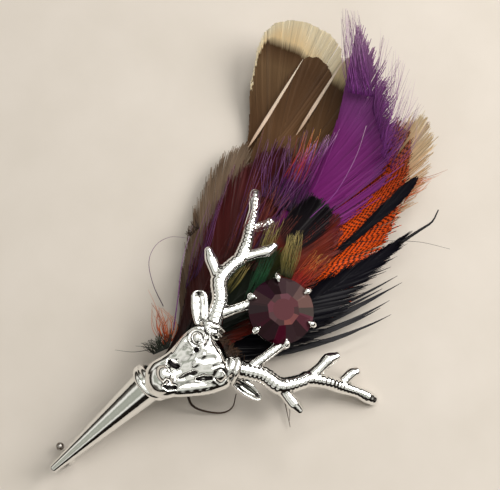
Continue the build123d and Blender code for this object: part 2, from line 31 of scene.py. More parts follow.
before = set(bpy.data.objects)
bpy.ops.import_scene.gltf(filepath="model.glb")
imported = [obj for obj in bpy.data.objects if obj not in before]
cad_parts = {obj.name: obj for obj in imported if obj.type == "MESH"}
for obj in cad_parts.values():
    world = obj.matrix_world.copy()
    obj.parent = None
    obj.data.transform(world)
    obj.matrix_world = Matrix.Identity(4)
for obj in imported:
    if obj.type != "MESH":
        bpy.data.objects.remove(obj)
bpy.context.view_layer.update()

# Places shared with the solids. CONE_RUN runs from the cone's mouth to its tip, and PLUME_HEADING is
# in degrees, to the left of the y axis.
STONE_MIDDLE = np.array([11.7064, 4.2335, 10.4292])
STONE_LEAN = radians(11.0)
STONE_SIDE = -0.6
STONE_HEIGHT = 10.5
ROLL = radians(7.5)
MOUTH = np.array([10.8870, -21.6665, 8.4190])
CONE_RUN = np.array([0.18175, -0.97039, -0.15907])
PLUME_HEADING = 10.61


def along(x, y, z):
    """A direction of the level casting as it lies, rolled onto its right antler."""
    return np.array([x * cos(ROLL) + z * sin(ROLL), y, -x * sin(ROLL) + z * cos(ROLL)])


LYING = STONE_MIDDLE - along(STONE_SIDE, 0, STONE_HEIGHT)
LEVEL_AXES = np.array([along(1, 0, 0), along(0, 1, 0), along(0, 0, 1)])


def at(x, y, z):
    """A point of the level casting where it lies."""
    return LYING + along(x, y, z)


def level(points):
    """Points where they lie, as points of the level casting."""
    return (points - LYING) @ LEVEL_AXES.T


stone_up = along(0, sin(STONE_LEAN), cos(STONE_LEAN))
stone_x = along(1, 0, 0)
stone_y = np.cross(stone_up, stone_x)


def on_stone(radius, angle, height):
    """A point by its distance from the stone's middle, its angle and its height over the girdle."""
    return STONE_MIDDLE + stone_x * radius * cos(angle) + stone_y * radius * sin(angle) + stone_up * height


# Materials


def linear(colour):
    """An sRGB hex colour as linear red, green, blue and alpha."""
    channels = [int(colour[i : i + 2], 16) / 255 for i in (1, 3, 5)]
    return [c / 12.92 if c <= 0.04045 else ((c + 0.055) / 1.055) ** 2.4 for c in channels] + [1.0]


def add_node(tree, kind, inputs=None, output=None, stops=None, steps=False, **settings):
    """Add a node with its settings, and set its inputs or link them. Returns the node or an output.

    Inputs are a dict of names or numbers, or a list in the node's own order. The stops of a colour
    ramp are (place, hex colour), smooth or in steps.
    """
    made = tree.nodes.new(kind)
    for name, value in settings.items():
        setattr(made, name, value)
    if stops:
        made.color_ramp.interpolation = "CONSTANT" if steps else "LINEAR"
        elements = made.color_ramp.elements
        elements[0].position, elements[0].color = stops[0][0], linear(stops[0][1])
        elements[1].position, elements[1].color = stops[-1][0], linear(stops[-1][1])
        for place, colour in stops[1:-1]:
            elements.new(place).color = linear(colour)
    given = dict(enumerate(inputs)) if isinstance(inputs, list) else inputs or {}
    for name, value in given.items():
        if isinstance(value, bpy.types.NodeSocket):
            tree.links.new(value, made.inputs[name])
        else:
            made.inputs[name].default_value = value
    return made if output is None else made.outputs[output]


def new_material(name, base, roughness, **sockets):
    """A material with one shader: the material, its tree and the shader."""
    material = bpy.data.materials.new(name)
    material.use_nodes = True
    tree = material.node_tree
    shader = tree.nodes["Principled BSDF"]
    shader.inputs["Base Color"].default_value = linear(base)
    shader.inputs["Roughness"].default_value = roughness
    for socket, value in sockets.items():
        shader.inputs[socket.replace("_", " ")].default_value = value
    return material, tree, shader


def paint(tree, shader, colour):
    """Let a colour of the tree be the surface's own."""
    tree.links.new(colour, shader.inputs["Base Color"])


# Settings of a mix of two colours. Its inputs are 0, the factor, and 6 and 7, the colours, and its
# output is 2.
BLENDED = {"data_type": "RGBA", "blend_type": "MIX"}
MULTIPLIED = {"data_type": "RGBA", "blend_type": "MULTIPLY"}
# Sizes of patterns in millimetres: waves in the polished plate, worn patches of the wire, and clouds
# in the card's tone, because its fibres are too fine to show
PLATE_WAVE, WIRE_PATCH, CARD_CLOUD = 10 / 9, 0.4, 50 / 3

# Rhodium over a zinc casting: nearly white, mirror bright, with the slight waviness of a polished
# casting, and painted shade in its grooves, darker the deeper the groove
rhodium, tree, shader = new_material("rhodium_plated_casting", "#e9e9ea", roughness=0.06, Metallic=1.0)
place = add_node(tree, "ShaderNodeTexCoord", output="Object")
noise = {"Vector": place, "Scale": 1 / (PLATE_WAVE * MM), "Detail": 3.0}
waviness = add_node(tree, "ShaderNodeTexNoise", noise, "Fac")
waves = {"Height": waviness, "Strength": 0.2, "Distance": 0.1 * MM}
tree.links.new(add_node(tree, "ShaderNodeBump", waves, "Normal"), shader.inputs["Normal"])
# Painted shade: the deeper a point lies in a groove, the darker the plate's colour
GROOVE_SHADE_STOPS = ((0.0, "#f4f4f2"), (0.5, "#d2d2cf"), (0.85, "#6a6664"), (1.0, "#2a2728"))
groove = add_node(tree, "ShaderNodeAttribute", output="Fac", attribute_name="groove")
paint(tree, shader, add_node(tree, "ShaderNodeValToRGB", [groove], "Color", GROOVE_SHADE_STOPS))

# Drawn steel wire: bright, a little duller than the plate, brownish where it is worn
wire, tree, shader = new_material("drawn_steel_wire", "#9c9894", roughness=0.24, Metallic=1.0)
STEEL_STOPS = ((0.35, "#6d5a50"), (0.6, "#b3b0ac"))
place = add_node(tree, "ShaderNodeTexCoord", output="Object")
noise = {"Vector": place, "Scale": 1 / (WIRE_PATCH * MM), "Detail": 4.0}
wear = add_node(tree, "ShaderNodeTexNoise", noise, "Fac")
paint(tree, shader, add_node(tree, "ShaderNodeValToRGB", [wear], "Color", STEEL_STOPS))

# Cut amethyst glass: dark wine red, with painted reflections and shade: each facet shows another tone of the
# pavilion behind it
glass, tree, shader = new_material(
    "cut_amethyst_glass", "#3b1528", roughness=0.05, IOR=1.5, Specular_IOR_Level=0.16
)
# Painted reflections and shade of the crown's facets, by their angle round the middle
CROWN_PAINTED_LIGHT = (
    (0.0, "#38282c"), (0.0625, "#5e3540"), (0.14, "#4c4441"), (0.1875, "#6e5450"), (0.26, "#5e4a48"),
    (0.3125, "#453638"), (0.39, "#3c2c30"), (0.4375, "#1e1014"), (0.5, "#2c1220"), (0.5625, "#3d2b2e"),
    (0.64, "#33262a"), (0.6875, "#34091a"), (0.77, "#1e050c"), (0.8125, "#220812"), (0.87, "#420e20"),
    (0.9375, "#38282c"), (1.0, "#38282c"),
)
# Painted reflections and shade of the table, by the angle round the middle
TABLE_PAINTED_LIGHT = (
    (0.0, "#7c4a4a"), (0.11, "#4b3436"), (0.2, "#643a40"), (0.33, "#6e4650"), (0.45, "#503a3c"),
    (0.57, "#6a3c46"), (0.7, "#5a4044"), (0.82, "#4b3436"), (0.92, "#84504b"), (1.0, "#7c4a4a"),
)
# The table is the facet that faces this far upwards, and it shows one painted tone within this distance of
# its middle. FACET_CHANCE gives each facet a value of its own, which sets its painted shade.
TABLE_FACING = 0.995
ONE_TONE_RADIUS = 1.95 * MM
FACET_CHANCE = (5.1, 7.3, 2.4)
TABLE_MIDDLE_PAINTED_LIGHT = "#643a40"
place = add_node(tree, "ShaderNodeTexCoord", output="Object")
centre = tuple(STONE_MIDDLE * MM)
from_middle = add_node(tree, "ShaderNodeVectorMath", [place, centre], "Vector", operation="SUBTRACT")
facet = add_node(tree, "ShaderNodeNewGeometry", output="True Normal")
# How far a point lies to the side and ahead of the middle, how far its facet faces up, and the
# facet's own value
shares = []
for first, second in (
    (from_middle, stone_x), (from_middle, stone_y), (facet, stone_up), (facet, FACET_CHANCE),
):
    both = [first, tuple(second)]
    shares.append(add_node(tree, "ShaderNodeVectorMath", both, "Value", operation="DOT_PRODUCT"))
side, ahead, facing, chance = shares
# Its angle round the middle as a share of a whole turn, and its distance from the middle
turn = add_node(tree, "ShaderNodeMath", [ahead, side], "Value", operation="ARCTAN2")
turn = add_node(tree, "ShaderNodeMath", [turn, 0.5 / pi, 1.0], "Value", operation="MULTIPLY_ADD")
turn = add_node(tree, "ShaderNodeMath", [turn], "Value", operation="FRACT")
reach = add_node(tree, "ShaderNodeMath", [ahead, ahead], "Value", operation="MULTIPLY")
reach = add_node(tree, "ShaderNodeMath", [side, side, reach], "Value", operation="MULTIPLY_ADD")
reach = add_node(tree, "ShaderNodeMath", [reach], "Value", operation="SQRT")
inner = add_node(tree, "ShaderNodeMath", [reach, ONE_TONE_RADIUS], "Value", operation="LESS_THAN")
flat = add_node(tree, "ShaderNodeMath", [facing, TABLE_FACING], "Value", operation="GREATER_THAN")
spread = add_node(tree, "ShaderNodeMath", [chance], "Value", operation="FRACT")
tone = add_node(tree, "ShaderNodeValToRGB", [turn], "Color", TABLE_PAINTED_LIGHT, steps=True)
tone = add_node(tree, "ShaderNodeMix", {0: inner, 6: tone, 7: linear(TABLE_MIDDLE_PAINTED_LIGHT)}, 2, **BLENDED)
crown = add_node(tree, "ShaderNodeValToRGB", [turn], "Color", CROWN_PAINTED_LIGHT, steps=True)
tone = add_node(tree, "ShaderNodeMix", {0: flat, 6: crown, 7: tone}, 2, **BLENDED)
# Painted shade: each facet is darkened by its own value
painted_facet_shade = add_node(tree, "ShaderNodeValToRGB", [spread], "Color", ((0.0, "#cec8c8"), (1.0, "#ffffff")))
tone = add_node(tree, "ShaderNodeMix", {0: 1.0, 6: tone, 7: painted_facet_shade}, 2, **MULTIPLIED)
paint(tree, shader, tone)

# Card under the brooch: warm grey white, matt, with a faint grain
card, tree, shader = new_material("pale_matt_card", "#d6cec4", roughness=0.9, Specular_IOR_Level=0.2)
CARD_STOPS = ((0.3, "#d3cbc1"), (0.7, "#dad2c9"))
place = add_node(tree, "ShaderNodeTexCoord", output="Object")
noise = {"Vector": place, "Scale": 1 / (CARD_CLOUD * MM), "Detail": 6.0}
grain = add_node(tree, "ShaderNodeTexNoise", noise, "Fac")
paint(tree, shader, add_node(tree, "ShaderNodeValToRGB", [grain], "Color", CARD_STOPS))


# How far the dye's edges, and the bars' turn, differ between one barb and another
DYE_RAGGED, BARS_RAGGED = 0.016, 1.4


def dyed_barbs(name, dark, stops, bars=None, roughness=0.5):
    """Barbs of a feather: coloured along its length, streaked from barb to barb by painted shade, and barred.
    """
    material, tree, shader = new_material(name, stops[0][1], roughness, Specular_IOR_Level=0.25)
    node = partial(add_node, tree)
    shade = node("ShaderNodeAttribute", output="Fac", attribute_name="shade")
    reach = node("ShaderNodeAttribute", output="Fac", attribute_name="reach")
    reach = node("ShaderNodeMath", [shade, DYE_RAGGED, reach], "Value", operation="MULTIPLY_ADD")
    colour = node("ShaderNodeValToRGB", [reach], "Color", stops)
    # Painted shade: barbs and tufts with a low shade value are darkened towards the dark colour
    shade_streak_stops = ((0.0, dark), (0.35, "#c8c8c8"), (0.7, "#ffffff"), (1.0, "#ffffff"))
    shade_streak = node("ShaderNodeValToRGB", [shade], "Color", shade_streak_stops)
    colour = node("ShaderNodeMix", {0: 1.0, 6: colour, 7: shade_streak}, 2, **MULTIPLIED)
    if bars:
        pitch, bar_colour, amount = bars
        run = node("ShaderNodeAttribute", output="Fac", attribute_name="run")
        sway = node("ShaderNodeMath", [shade, BARS_RAGGED], "Value", operation="MULTIPLY")
        turn = node("ShaderNodeMath", [run, 2 * pi / pitch, sway], "Value", operation="MULTIPLY_ADD")
        wave = node("ShaderNodeMath", [turn], "Value", operation="SINE")
        edges = {"Value": wave, "From Min": 0.0, "From Max": 0.5, "To Max": amount}
        cut = node("ShaderNodeMapRange", edges, "Result")
        colour = node("ShaderNodeMix", {0: cut, 6: colour, 7: linear(bar_colour)}, 2, **BLENDED)
    paint(tree, shader, colour)
    return material


# Horn of a pale feather's leading edge
pale_horn, tree, shader = new_material("pale_horn_edge", "#d9bfa4", roughness=0.4, Specular_IOR_Level=0.3)
PALE_STOPS = ((0.0, "#b99b80"), (0.35, "#e6cdb8"), (1.0, "#f2e2cc"))
reach = add_node(tree, "ShaderNodeAttribute", output="Fac", attribute_name="reach")
paint(tree, shader, add_node(tree, "ShaderNodeValToRGB", [reach], "Color", PALE_STOPS))

# Natural feathers, brown, tan and cream. All colours go by the distance from the cone's mouth, as a
# share of the feather's length.
cream_barbs = dyed_barbs("natural_brown_cream_vane", "#8a7460", (
    (0.0, "#2e1c10"), (0.45, "#563c27"), (0.75, "#6b4d34"), (0.88, "#846749"), (0.912, "#6f5238"),
    (0.926, "#5a4029"), (0.948, "#ffe8bb"), (1.0, "#fff2d4"),
))
brown_barbs = dyed_barbs("natural_brown_vane", "#7a6654", (
    (0.0, "#26180e"), (0.5, "#432c1b"), (0.8, "#735338"), (0.96, "#654831"), (1.0, "#6e5037"),
))
high_barbs = dyed_barbs("natural_brown_vane_high", "#7a6654", (
    (0.0, "#26180e"), (0.5, "#432c1b"), (0.8, "#6e5035"), (0.915, "#523925"), (0.94, "#dcc89c"),
    (1.0, "#f0e0bc"),
))
tip_barbs = dyed_barbs("natural_cream_vane", "#a08258", (
    (0.0, "#5a4330"), (0.6, "#9a7c58"), (0.78, "#d9ae84"), (0.9, "#e6c49c"), (1.0, "#ecd9b4"),
))
tan_barbs = dyed_barbs("natural_tan_vane", "#7a5a68", (
    (0.0, "#2c2018"), (0.4, "#5d4a3a"), (0.7, "#7d6753"), (1.0, "#8b7662"),
))

# Dyed feathers: strong colour, streaked from barb to barb by painted shade
orange_barbs = dyed_barbs("dyed_orange_barred_vane", "#a04010", (
    (0.0, "#6a1808"), (0.4, "#ee560c"), (0.75, "#e85410"), (0.9, "#ca4a1c"), (1.0, "#c07a58"),
), bars=(1.05, "#120808", 0.9))
burgundy_barbs = dyed_barbs("dyed_burgundy_vane", "#4a2424", (
    (0.0, "#120807"), (0.3, "#2c0d0b"), (0.6, "#4f1a18"), (0.85, "#521c1e"), (1.0, "#4c1f22"),
))
black_barbs = dyed_barbs("dyed_navy_black_vane", "#707078", (
    (0.0, "#070508"), (0.6, "#0e0d14"), (1.0, "#14121c"),
), roughness=0.38)
purple_barbs = dyed_barbs("dyed_purple_vane", "#6a3a68", (
    (0.0, "#22082a"), (0.4, "#5a145a"), (0.6, "#78206e"), (0.75, "#84307e"), (0.86, "#8a4a8e"),
    (1.0, "#b488b0"),
))
rust_barbs = dyed_barbs("dyed_rust_black_tip_vane", "#6a3020", (
    (0.0, "#1c0806"), (0.45, "#541c12"), (0.74, "#742a1c"), (0.79, "#120a10"), (1.0, "#0c080e"),
))
red_barbs = dyed_barbs("dyed_rust_red_vane", "#8a3a20", (
    (0.0, "#3a0e0a"), (0.5, "#742418"), (0.85, "#7c3020"), (1.0, "#6a2430"),
))
green_barbs = dyed_barbs("herl_dark_green", "#506040", (
    (0.0, "#050704"), (0.5, "#0b100a"), (0.8, "#141c0e"), (0.95, "#3a3a18"), (1.0, "#5a5424"),
))

# Loose strands
gold_strand = dyed_barbs("herl_olive_gold", "#3c5028", (
    (0.0, "#1e2410"), (0.4, "#6e6430"), (1.0, "#bca868"),
))
emerald_strand = dyed_barbs("herl_emerald", "#406040", (
    (0.0, "#06140c"), (0.5, "#0d4a28"), (1.0, "#16301a"),
))
fire_strand = dyed_barbs("dyed_red_orange_strand", "#a03050", (
    (0.0, "#6a1420"), (0.4, "#a82a20"), (0.8, "#c85a28"), (1.0, "#c89448"),
))
peach_strand = dyed_barbs("dyed_pale_orange_strand", "#c07050", (
    (0.0, "#c04a1a"), (0.5, "#dc7440"), (1.0, "#d8a284"),
))
wine_strand = dyed_barbs("dyed_wine_strand", "#806060", (
    (0.0, "#3a1210"), (0.5, "#6a2620"), (1.0, "#8a4434"),
))
lilac_strand = dyed_barbs("dyed_lilac_strand", "#8a5a88", (
    (0.0, "#6a2474"), (0.4, "#8a4690"), (0.8, "#b08ab0"), (1.0, "#d0b8c8"),
))
plum_strand = dyed_barbs("dyed_plum_strand", "#705070", (
    (0.0, "#3a1640"), (0.5, "#5e2a62"), (1.0, "#8a5a86"),
))
brown_strand = dyed_barbs("natural_dark_brown_down", "#6a5a4a", (
    (0.0, "#20140c"), (0.5, "#38261a"), (1.0, "#4a3424"),
))
moss_strand = dyed_barbs("dyed_dark_green_down", "#607060", (
    (0.0, "#10140c"), (0.5, "#1c2618"), (1.0, "#2c3a28"),
))

# Mesh making

# A bar's ribs: their pitch, how blunt they are, and how much of them is lost by its far end
RIB_PITCH, RIB_FORM, RIB_FADE = 0.8, 0.6, 0.65
LEAST_RADIUS = 0.004
# A direction that no bar runs along
NEARLY_UP = (0.12, 0.05, 1.0)
# How far a ball's first ring of points lies from its pole, in radians
BALL_POLE = 0.06
# How often the depth of grooves is evened out, and the depth that counts as a full groove, which gets the
# darkest painted shade
GROOVE_SPREAD, FULL_GROOVE = 3, 0.012


def unit(direction):
    """A direction with a length of one."""
    return direction / np.linalg.norm(direction)


def across(run, near):
    """Two directions square to a line and to each other, the first one square to near as well."""
    side = unit(np.cross(run, near))
    return side, np.cross(side, run)


def headings(line):
    """The direction of a line at each of its points."""
    ahead = np.gradient(line, axis=0)
    return ahead / np.linalg.norm(ahead, axis=1)[:, None]


def turns(count):
    """The angles of points spread evenly round a circle."""
    return np.linspace(0, 2 * pi, count, endpoint=False)


def linked(name, data):
    """An object in the scene that holds a mesh, a lamp or a camera."""
    made = bpy.data.objects.new(name, data)
    bpy.context.scene.collection.objects.link(made)
    return made


def evaluated(holder):
    """What an object's modifiers make: the mesh, its points and its faces. The object goes."""
    graph = bpy.context.evaluated_depsgraph_get()
    mesh = bpy.data.meshes.new_from_object(holder.evaluated_get(graph))
    holder.modifiers.clear()
    bpy.data.objects.remove(holder)
    points = np.empty(len(mesh.vertices) * 3)
    mesh.vertices.foreach_get("co", points)
    return mesh, points.reshape(-1, 3), [tuple(p.vertices) for p in mesh.polygons]


def new_piece(name, points, faces, material, numbers=None, smooth=True, closed=False):
    """An object from points in millimetres, faces, and named numbers for its points."""
    mesh = bpy.data.meshes.new(name)
    places = [tuple(p) for p in np.asarray(points) * MM]
    mesh.from_pydata(places, [], [tuple(int(i) for i in f) for f in faces])
    for label, values in (numbers or {}).items():
        stored = mesh.attributes.new(label, "FLOAT", "POINT")
        stored.data.foreach_set("value", np.asarray(values, dtype=np.float32))
    if closed:
        skin = bmesh.new()
        skin.from_mesh(mesh)
        bmesh.ops.recalc_face_normals(skin, faces=skin.faces)
        skin.to_mesh(mesh)
        skin.free()
    mesh.polygons.foreach_set("use_smooth", [smooth] * len(mesh.polygons))
    mesh.materials.append(material)
    mesh.update()
    return linked(name, mesh)


def smooth_path(points, step):
    """Points about a step apart on a smooth line through the given ones, and their places on it."""
    points = np.asarray(points, dtype=float)
    before = np.vstack([2 * points[0] - points[1], points, 2 * points[-1] - points[-2]])
    made, places = [], []
    for i in range(len(points) - 1):
        a, b, c, d = before[i : i + 4]
        count = max(2, int(np.linalg.norm(c - b) / step))
        for t in np.arange(count) / count:
            bend = (2 * a - 5 * b + 4 * c - d) * t**2 + (3 * b - a - 3 * c + d) * t**3
            made.append(0.5 * (2 * b + (c - a) * t + bend))
            places.append(i + t)
    made.append(points[-1])
    places.append(len(points) - 1.0)
    return np.array(made), np.array(places)


def rings(made):
    """The points and faces of a closed skin over rings of points."""
    sides = len(made[0])
    points = np.vstack(made + [made[0].mean(axis=0), made[-1].mean(axis=0)])
    faces = []
    for i in range(len(made) - 1):
        for j in range(sides):
            k = (j + 1) % sides
            faces.append((i * sides + j, (i + 1) * sides + j, (i + 1) * sides + k, i * sides + k))
    low, high, end = len(points) - 2, len(points) - 1, (len(made) - 1) * sides
    faces += [(low, j, (j + 1) % sides) for j in range(sides)]
    faces += [(high, end + (j + 1) % sides, end + j) for j in range(sides)]
    return points, faces


def tube(points, radii, sides=20, step=0.14, ribs=0.0, flat=1.0, ends=5):
    """A closed round bar along a smooth path, with rounded ends and rings round it."""
    line, places = smooth_path(points, step)
    radius = np.interp(places, np.arange(len(radii)), radii)
    ahead = headings(line)
    run = np.concatenate([[0], np.cumsum(np.linalg.norm(np.diff(line, axis=0), axis=1))])
    fading = ribs * (1 - RIB_FADE * run / run[-1])
    radius = radius * (1 + fading * (np.abs(np.sin(pi * run / RIB_PITCH)) ** RIB_FORM - 0.5))
    rounds = np.linspace(0, pi / 2, ends + 1)[:-1]
    start, end = ahead[0] * radius[0], ahead[-1] * radius[-1]
    first = [(line[0] - start * cos(a), ahead[0], radius[0] * sin(a)) for a in rounds]
    last = [(line[-1] + end * cos(a), ahead[-1], radius[-1] * sin(a)) for a in rounds[::-1]]
    side = np.cross(ahead[0], NEARLY_UP)
    turn = turns(sides)
    made = []
    for middle, forward, size in first + list(zip(line, ahead, radius)) + last:
        side = unit(side - forward * side.dot(forward))
        up = np.cross(side, forward)
        size = max(size, LEAST_RADIUS)
        made.append(middle + size * (np.outer(np.cos(turn), side) + flat * np.outer(np.sin(turn), up)))
    return rings(made)


def lathe(profile, origin, run, sides):
    """A ring-shaped skin: a closed profile of (radius, distance) turned about a line."""
    run = unit(np.asarray(run))
    side, up = across(run, (0, 0, 1.0))
    points = []
    for a in turns(sides):
        outwards = cos(a) * side + sin(a) * up
        points += [origin + run * z + r * outwards for r, z in profile]
    count = len(profile)
    faces = []
    for j in range(sides):
        k = (j + 1) % sides
        for i in range(count):
            n = (i + 1) % count
            faces.append((j * count + i, k * count + i, k * count + n, j * count + n))
    return np.array(points), faces


def ring_bar(centre, run, radius, wire_radius, sides=40):
    """A ring of wire about a line."""
    profile = [(radius + wire_radius * cos(a), wire_radius * sin(a)) for a in turns(12)]
    return lathe(profile, centre, run, sides)


def ball(centre, radii):
    """A ball, or one squashed along the level casting's axes."""
    turn = turns(30)
    made = []
    for a in np.linspace(BALL_POLE, pi - BALL_POLE, 22):
        level_ring = [sin(a) * np.cos(turn), sin(a) * np.sin(turn), np.full_like(turn, -cos(a))]
        shape = np.stack(level_ring, axis=1)
        made.append(centre + (shape * radii) @ LEVEL_AXES)
    return rings(made)


def joined(shells):
    """Several skins as one list of points and faces."""
    points, faces, start = [], [], 0
    for shell_points, shell_faces in shells:
        points.append(shell_points)
        faces += [tuple(i + start for i in f) for f in shell_faces]
        start += len(shell_points)
    return np.vstack(points), faces


def fused(shells, voxel):
    """Skins melted into one, as a casting is: its points and faces."""
    points, faces = joined(shells)
    mesh = bpy.data.meshes.new("melting")
    mesh.from_pydata([tuple(p) for p in points], [], faces)
    melting = linked("melting", mesh)
    remesh = melting.modifiers.new("Melt", "REMESH")
    remesh.mode = "VOXEL"
    remesh.voxel_size = voxel
    soften = melting.modifiers.new("Soften", "SMOOTH")
    soften.factor = 0.5
    soften.iterations = 2
    return evaluated(melting)[1:]


def normals_of(points, faces):
    """Outward directions at the points of a skin, and its faces with four corners each."""
    quads = np.array([f if len(f) == 4 else (*f, f[-1]) for f in faces])
    a, b, c, d = (points[quads[:, i]] for i in range(4))
    facing = np.cross(c - a, d - b)
    made = np.zeros_like(points)
    for i in range(4):
        np.add.at(made, quads[:, i], facing)
    return made / np.maximum(np.linalg.norm(made, axis=1), 1e-9)[:, None], quads


def sum_around(values, quads):
    """For each point, the sum of a value over its neighbours, once for each face that they share."""
    total = np.zeros_like(values)
    for i in range(4):
        j = (i + 1) % 4
        np.add.at(total, quads[:, i], values[quads[:, j]])
        np.add.at(total, quads[:, j], values[quads[:, i]])
    return total


def grooves(points, faces):
    """How deep each point lies in a groove, from 0 to 1."""
    normals, quads = normals_of(points, faces)
    count = sum_around(np.ones(len(points)), quads)
    middle = sum_around(points, quads) / count[:, None]
    hollow = ((middle - points) * normals).sum(axis=1)
    for _ in range(GROOVE_SPREAD):
        hollow = 0.5 * hollow + 0.5 * sum_around(hollow, quads) / count
    return np.clip(hollow / FULL_GROOVE, 0, 1)


def clean_metal(name, shells, material):
    """One object from several skins of metal, with no painted shade in its grooves."""
    points, faces = joined(shells)
    return new_piece(name, points, faces, material, {"groove": np.zeros(len(points))}, closed=True)


# Casting

ANTLER_SPREAD, ANTLER_REACH, ANTLER_FALL, ANTLER_HEIGHT = 21.6, 19.4, 7.4, 11.3
BURR_BACK = 12.2
# Shares of the antler's spread, reach and fall from its burr, and its radius there
BEAM = (
    (0.200, 0.000, 0.000, 1.62), (0.285, 0.110, 0.035, 1.56), (0.370, 0.200, 0.080, 1.50),
    (0.505, 0.280, 0.150, 1.62), (0.560, 0.455, 0.270, 1.38), (0.575, 0.550, 0.365, 1.50),
    (0.667, 0.680, 0.500, 1.25), (0.760, 0.780, 0.690, 1.32), (0.880, 0.905, 0.830, 1.05),
    (0.950, 0.960, 0.920, 1.22), (1.000, 1.000, 1.000, 1.12),
)
TINES = (
    ((0.505, 0.280, 0.150, 1.35), (0.600, 0.292, 0.175, 1.10), (0.690, 0.308, 0.205, 1.18),
     (0.760, 0.327, 0.230, 0.80)),
    ((0.575, 0.550, 0.365, 1.25), (0.545, 0.700, 0.400, 1.05), (0.522, 0.800, 0.420, 1.30),
     (0.530, 0.885, 0.440, 0.78)),
    ((0.760, 0.780, 0.690, 1.10), (0.732, 0.880, 0.730, 1.05), (0.722, 0.945, 0.755, 1.05),
     (0.727, 0.985, 0.775, 0.90)),
)
# How much the radius of a beam, a tine and a brow tine changes at its ribs
BEAM_RIBS, TINE_RIBS, BROW_RIBS = 0.11, 0.05, 0.09
# Burr at an antler's foot: the place along the beam and the radius of each ring, and its wire
BURR_RINGS = ((-1.1, 1.95), (-0.1, 2.15))
BURR_WIRE = 0.5
# A wavy ring has this many waves, this high as a share of its radius and this deep along the beam
WAVES, WAVE_OUT, WAVE_ALONG = 6, 0.035, 0.06
# Brow tines: where they leave the beams, their angles, radius and height at the cup, and their bow
BROW_ROOT = (0.260, 0.085, 0.030)
BROW_ENDS = (radians(-133), radians(-26))
BROW_END_RADIUS, BROW_END_HEIGHT, BROW_BOW = 5.7, -1.0, 0.35
# Across the head from the nose back: place, left, right, underside and top
HEAD = np.array((
    (-27.6, -1.3, 0.6, 11.0, 12.3), (-26.9, -2.9, 1.9, 10.2, 13.2), (-25.6, -3.9, 2.9, 9.6, 14.0),
    (-24.0, -4.2, 3.3, 9.5, 14.2), (-22.4, -4.1, 3.5, 9.5, 13.9), (-21.0, -4.2, 3.8, 9.5, 13.9),
    (-19.3, -4.8, 4.6, 9.4, 14.2), (-17.6, -5.5, 5.8, 9.3, 14.6), (-15.6, -5.9, 6.2, 9.3, 14.9),
    (-14.2, -5.3, 5.8, 9.5, 14.9), (-13.3, -4.2, 4.6, 9.8, 14.5), (-12.7, -3.4, 3.6, 10.1, 13.4),
    (-12.2, -2.7, 2.9, 10.4, 12.2),
))
# How often the head's sections are evened out, and their roundness, where 1 is an ellipse
HEAD_SWEEPS, HEAD_ROUND = 40, 0.9
# How thick an ear is, and the width of its hollow as a share of the ear's
EAR_THICK, EAR_HOLLOW = 1.3, 0.62
QUICK_VOXEL, VOXEL = 0.2, 0.142
# The part of the head that is worked: above a height, between two places along it, and not
# further out than a distance to each side
FACE_FLOOR, FACE_FRONT, FACE_BACK, FACE_HALF = 10.5, -27.0, -12.5, 5.0
# How deep the waves are that the hammer leaves on it, and how far they shift a stroke's edge
HAMMERED, RAGGED_STROKE = 0.035, 0.12
# Strokes pressed into the face: from, to, how wide, how deep, and the radius of a ring
STROKES = (
    ((-2.3, -21.8), (-1.2, -21.2), 0.72, 1.3, 0), ((-1.64, -20.4), (-1.7, -17.9), 0.9, 0.36, 0),
    ((-1.98, -16.69), (-1.97, -16.69), 0.4, 1.3, 0), ((0.1, -24.3), (0.3, -23.9), 0.5, 0.9, 0),
    ((0.7, -24.8), (1.8, -23.2), 0.46, 1.1, 0), ((0.9, -21.7), (1.0, -20.2), 0.3, 0.5, 0),
    ((1.0, -19.8), (1.4, -18.8), 0.36, 0.8, 0), ((2.5, -19.0), (3.5, -17.0), 0.46, 1.0, 0),
    ((-4.7, -13.7), (-3.2, -13.5), 0.26, 0.36, 0), ((-2.6, -14.0), (-2.1, -15.2), 0.26, 0.36, 0),
    ((-2.3, -16.0), (-3.1, -16.9), 0.26, 0.3, 0), ((-3.76, -15.6), (-3.75, -15.6), 0.2, 0.25, 1.12),
    ((4.06, -15.3), (4.07, -15.3), 0.22, 0.25, 1.1), ((-0.4, -17.2), (0.9, -14.6), 0.7, 0.25, 0),
    ((2.0, -15.6), (2.6, -13.6), 0.4, 0.16, 0), ((0.2, -18.6), (-0.6, -16.2), 0.5, -0.2, 0),
)


def antler_point(share, side):
    """A point of an antler by its shares, to the left (-1) or the right (1)."""
    out, reach, fall = share[:3]
    height = ANTLER_HEIGHT - fall * ANTLER_FALL
    return at(side * out * ANTLER_SPREAD, reach * ANTLER_REACH - BURR_BACK, height)


def antler_bar(rows, side, ribs):
    """A beam or a tine, from rows of shares and a radius."""
    return tube([antler_point(row, side) for row in rows], [row[3] for row in rows], ribs=ribs)


def wavy_ring(centre, run, radius, wire_radius):
    """A ring that runs in waves, as the burr at an antler's foot does."""
    side, up = across(run, (0.3, 0.1, 1.0))
    turn = np.linspace(0, 2 * pi, 73)[:, None]
    size = radius * (1 + WAVE_OUT * np.sin(WAVES * turn))
    ring = centre + size * (np.cos(turn) * side + np.sin(turn) * up)
    line = ring + WAVE_ALONG * np.cos(WAVES * turn) * run
    return tube(line, [wire_radius] * len(line), sides=12, step=0.3)


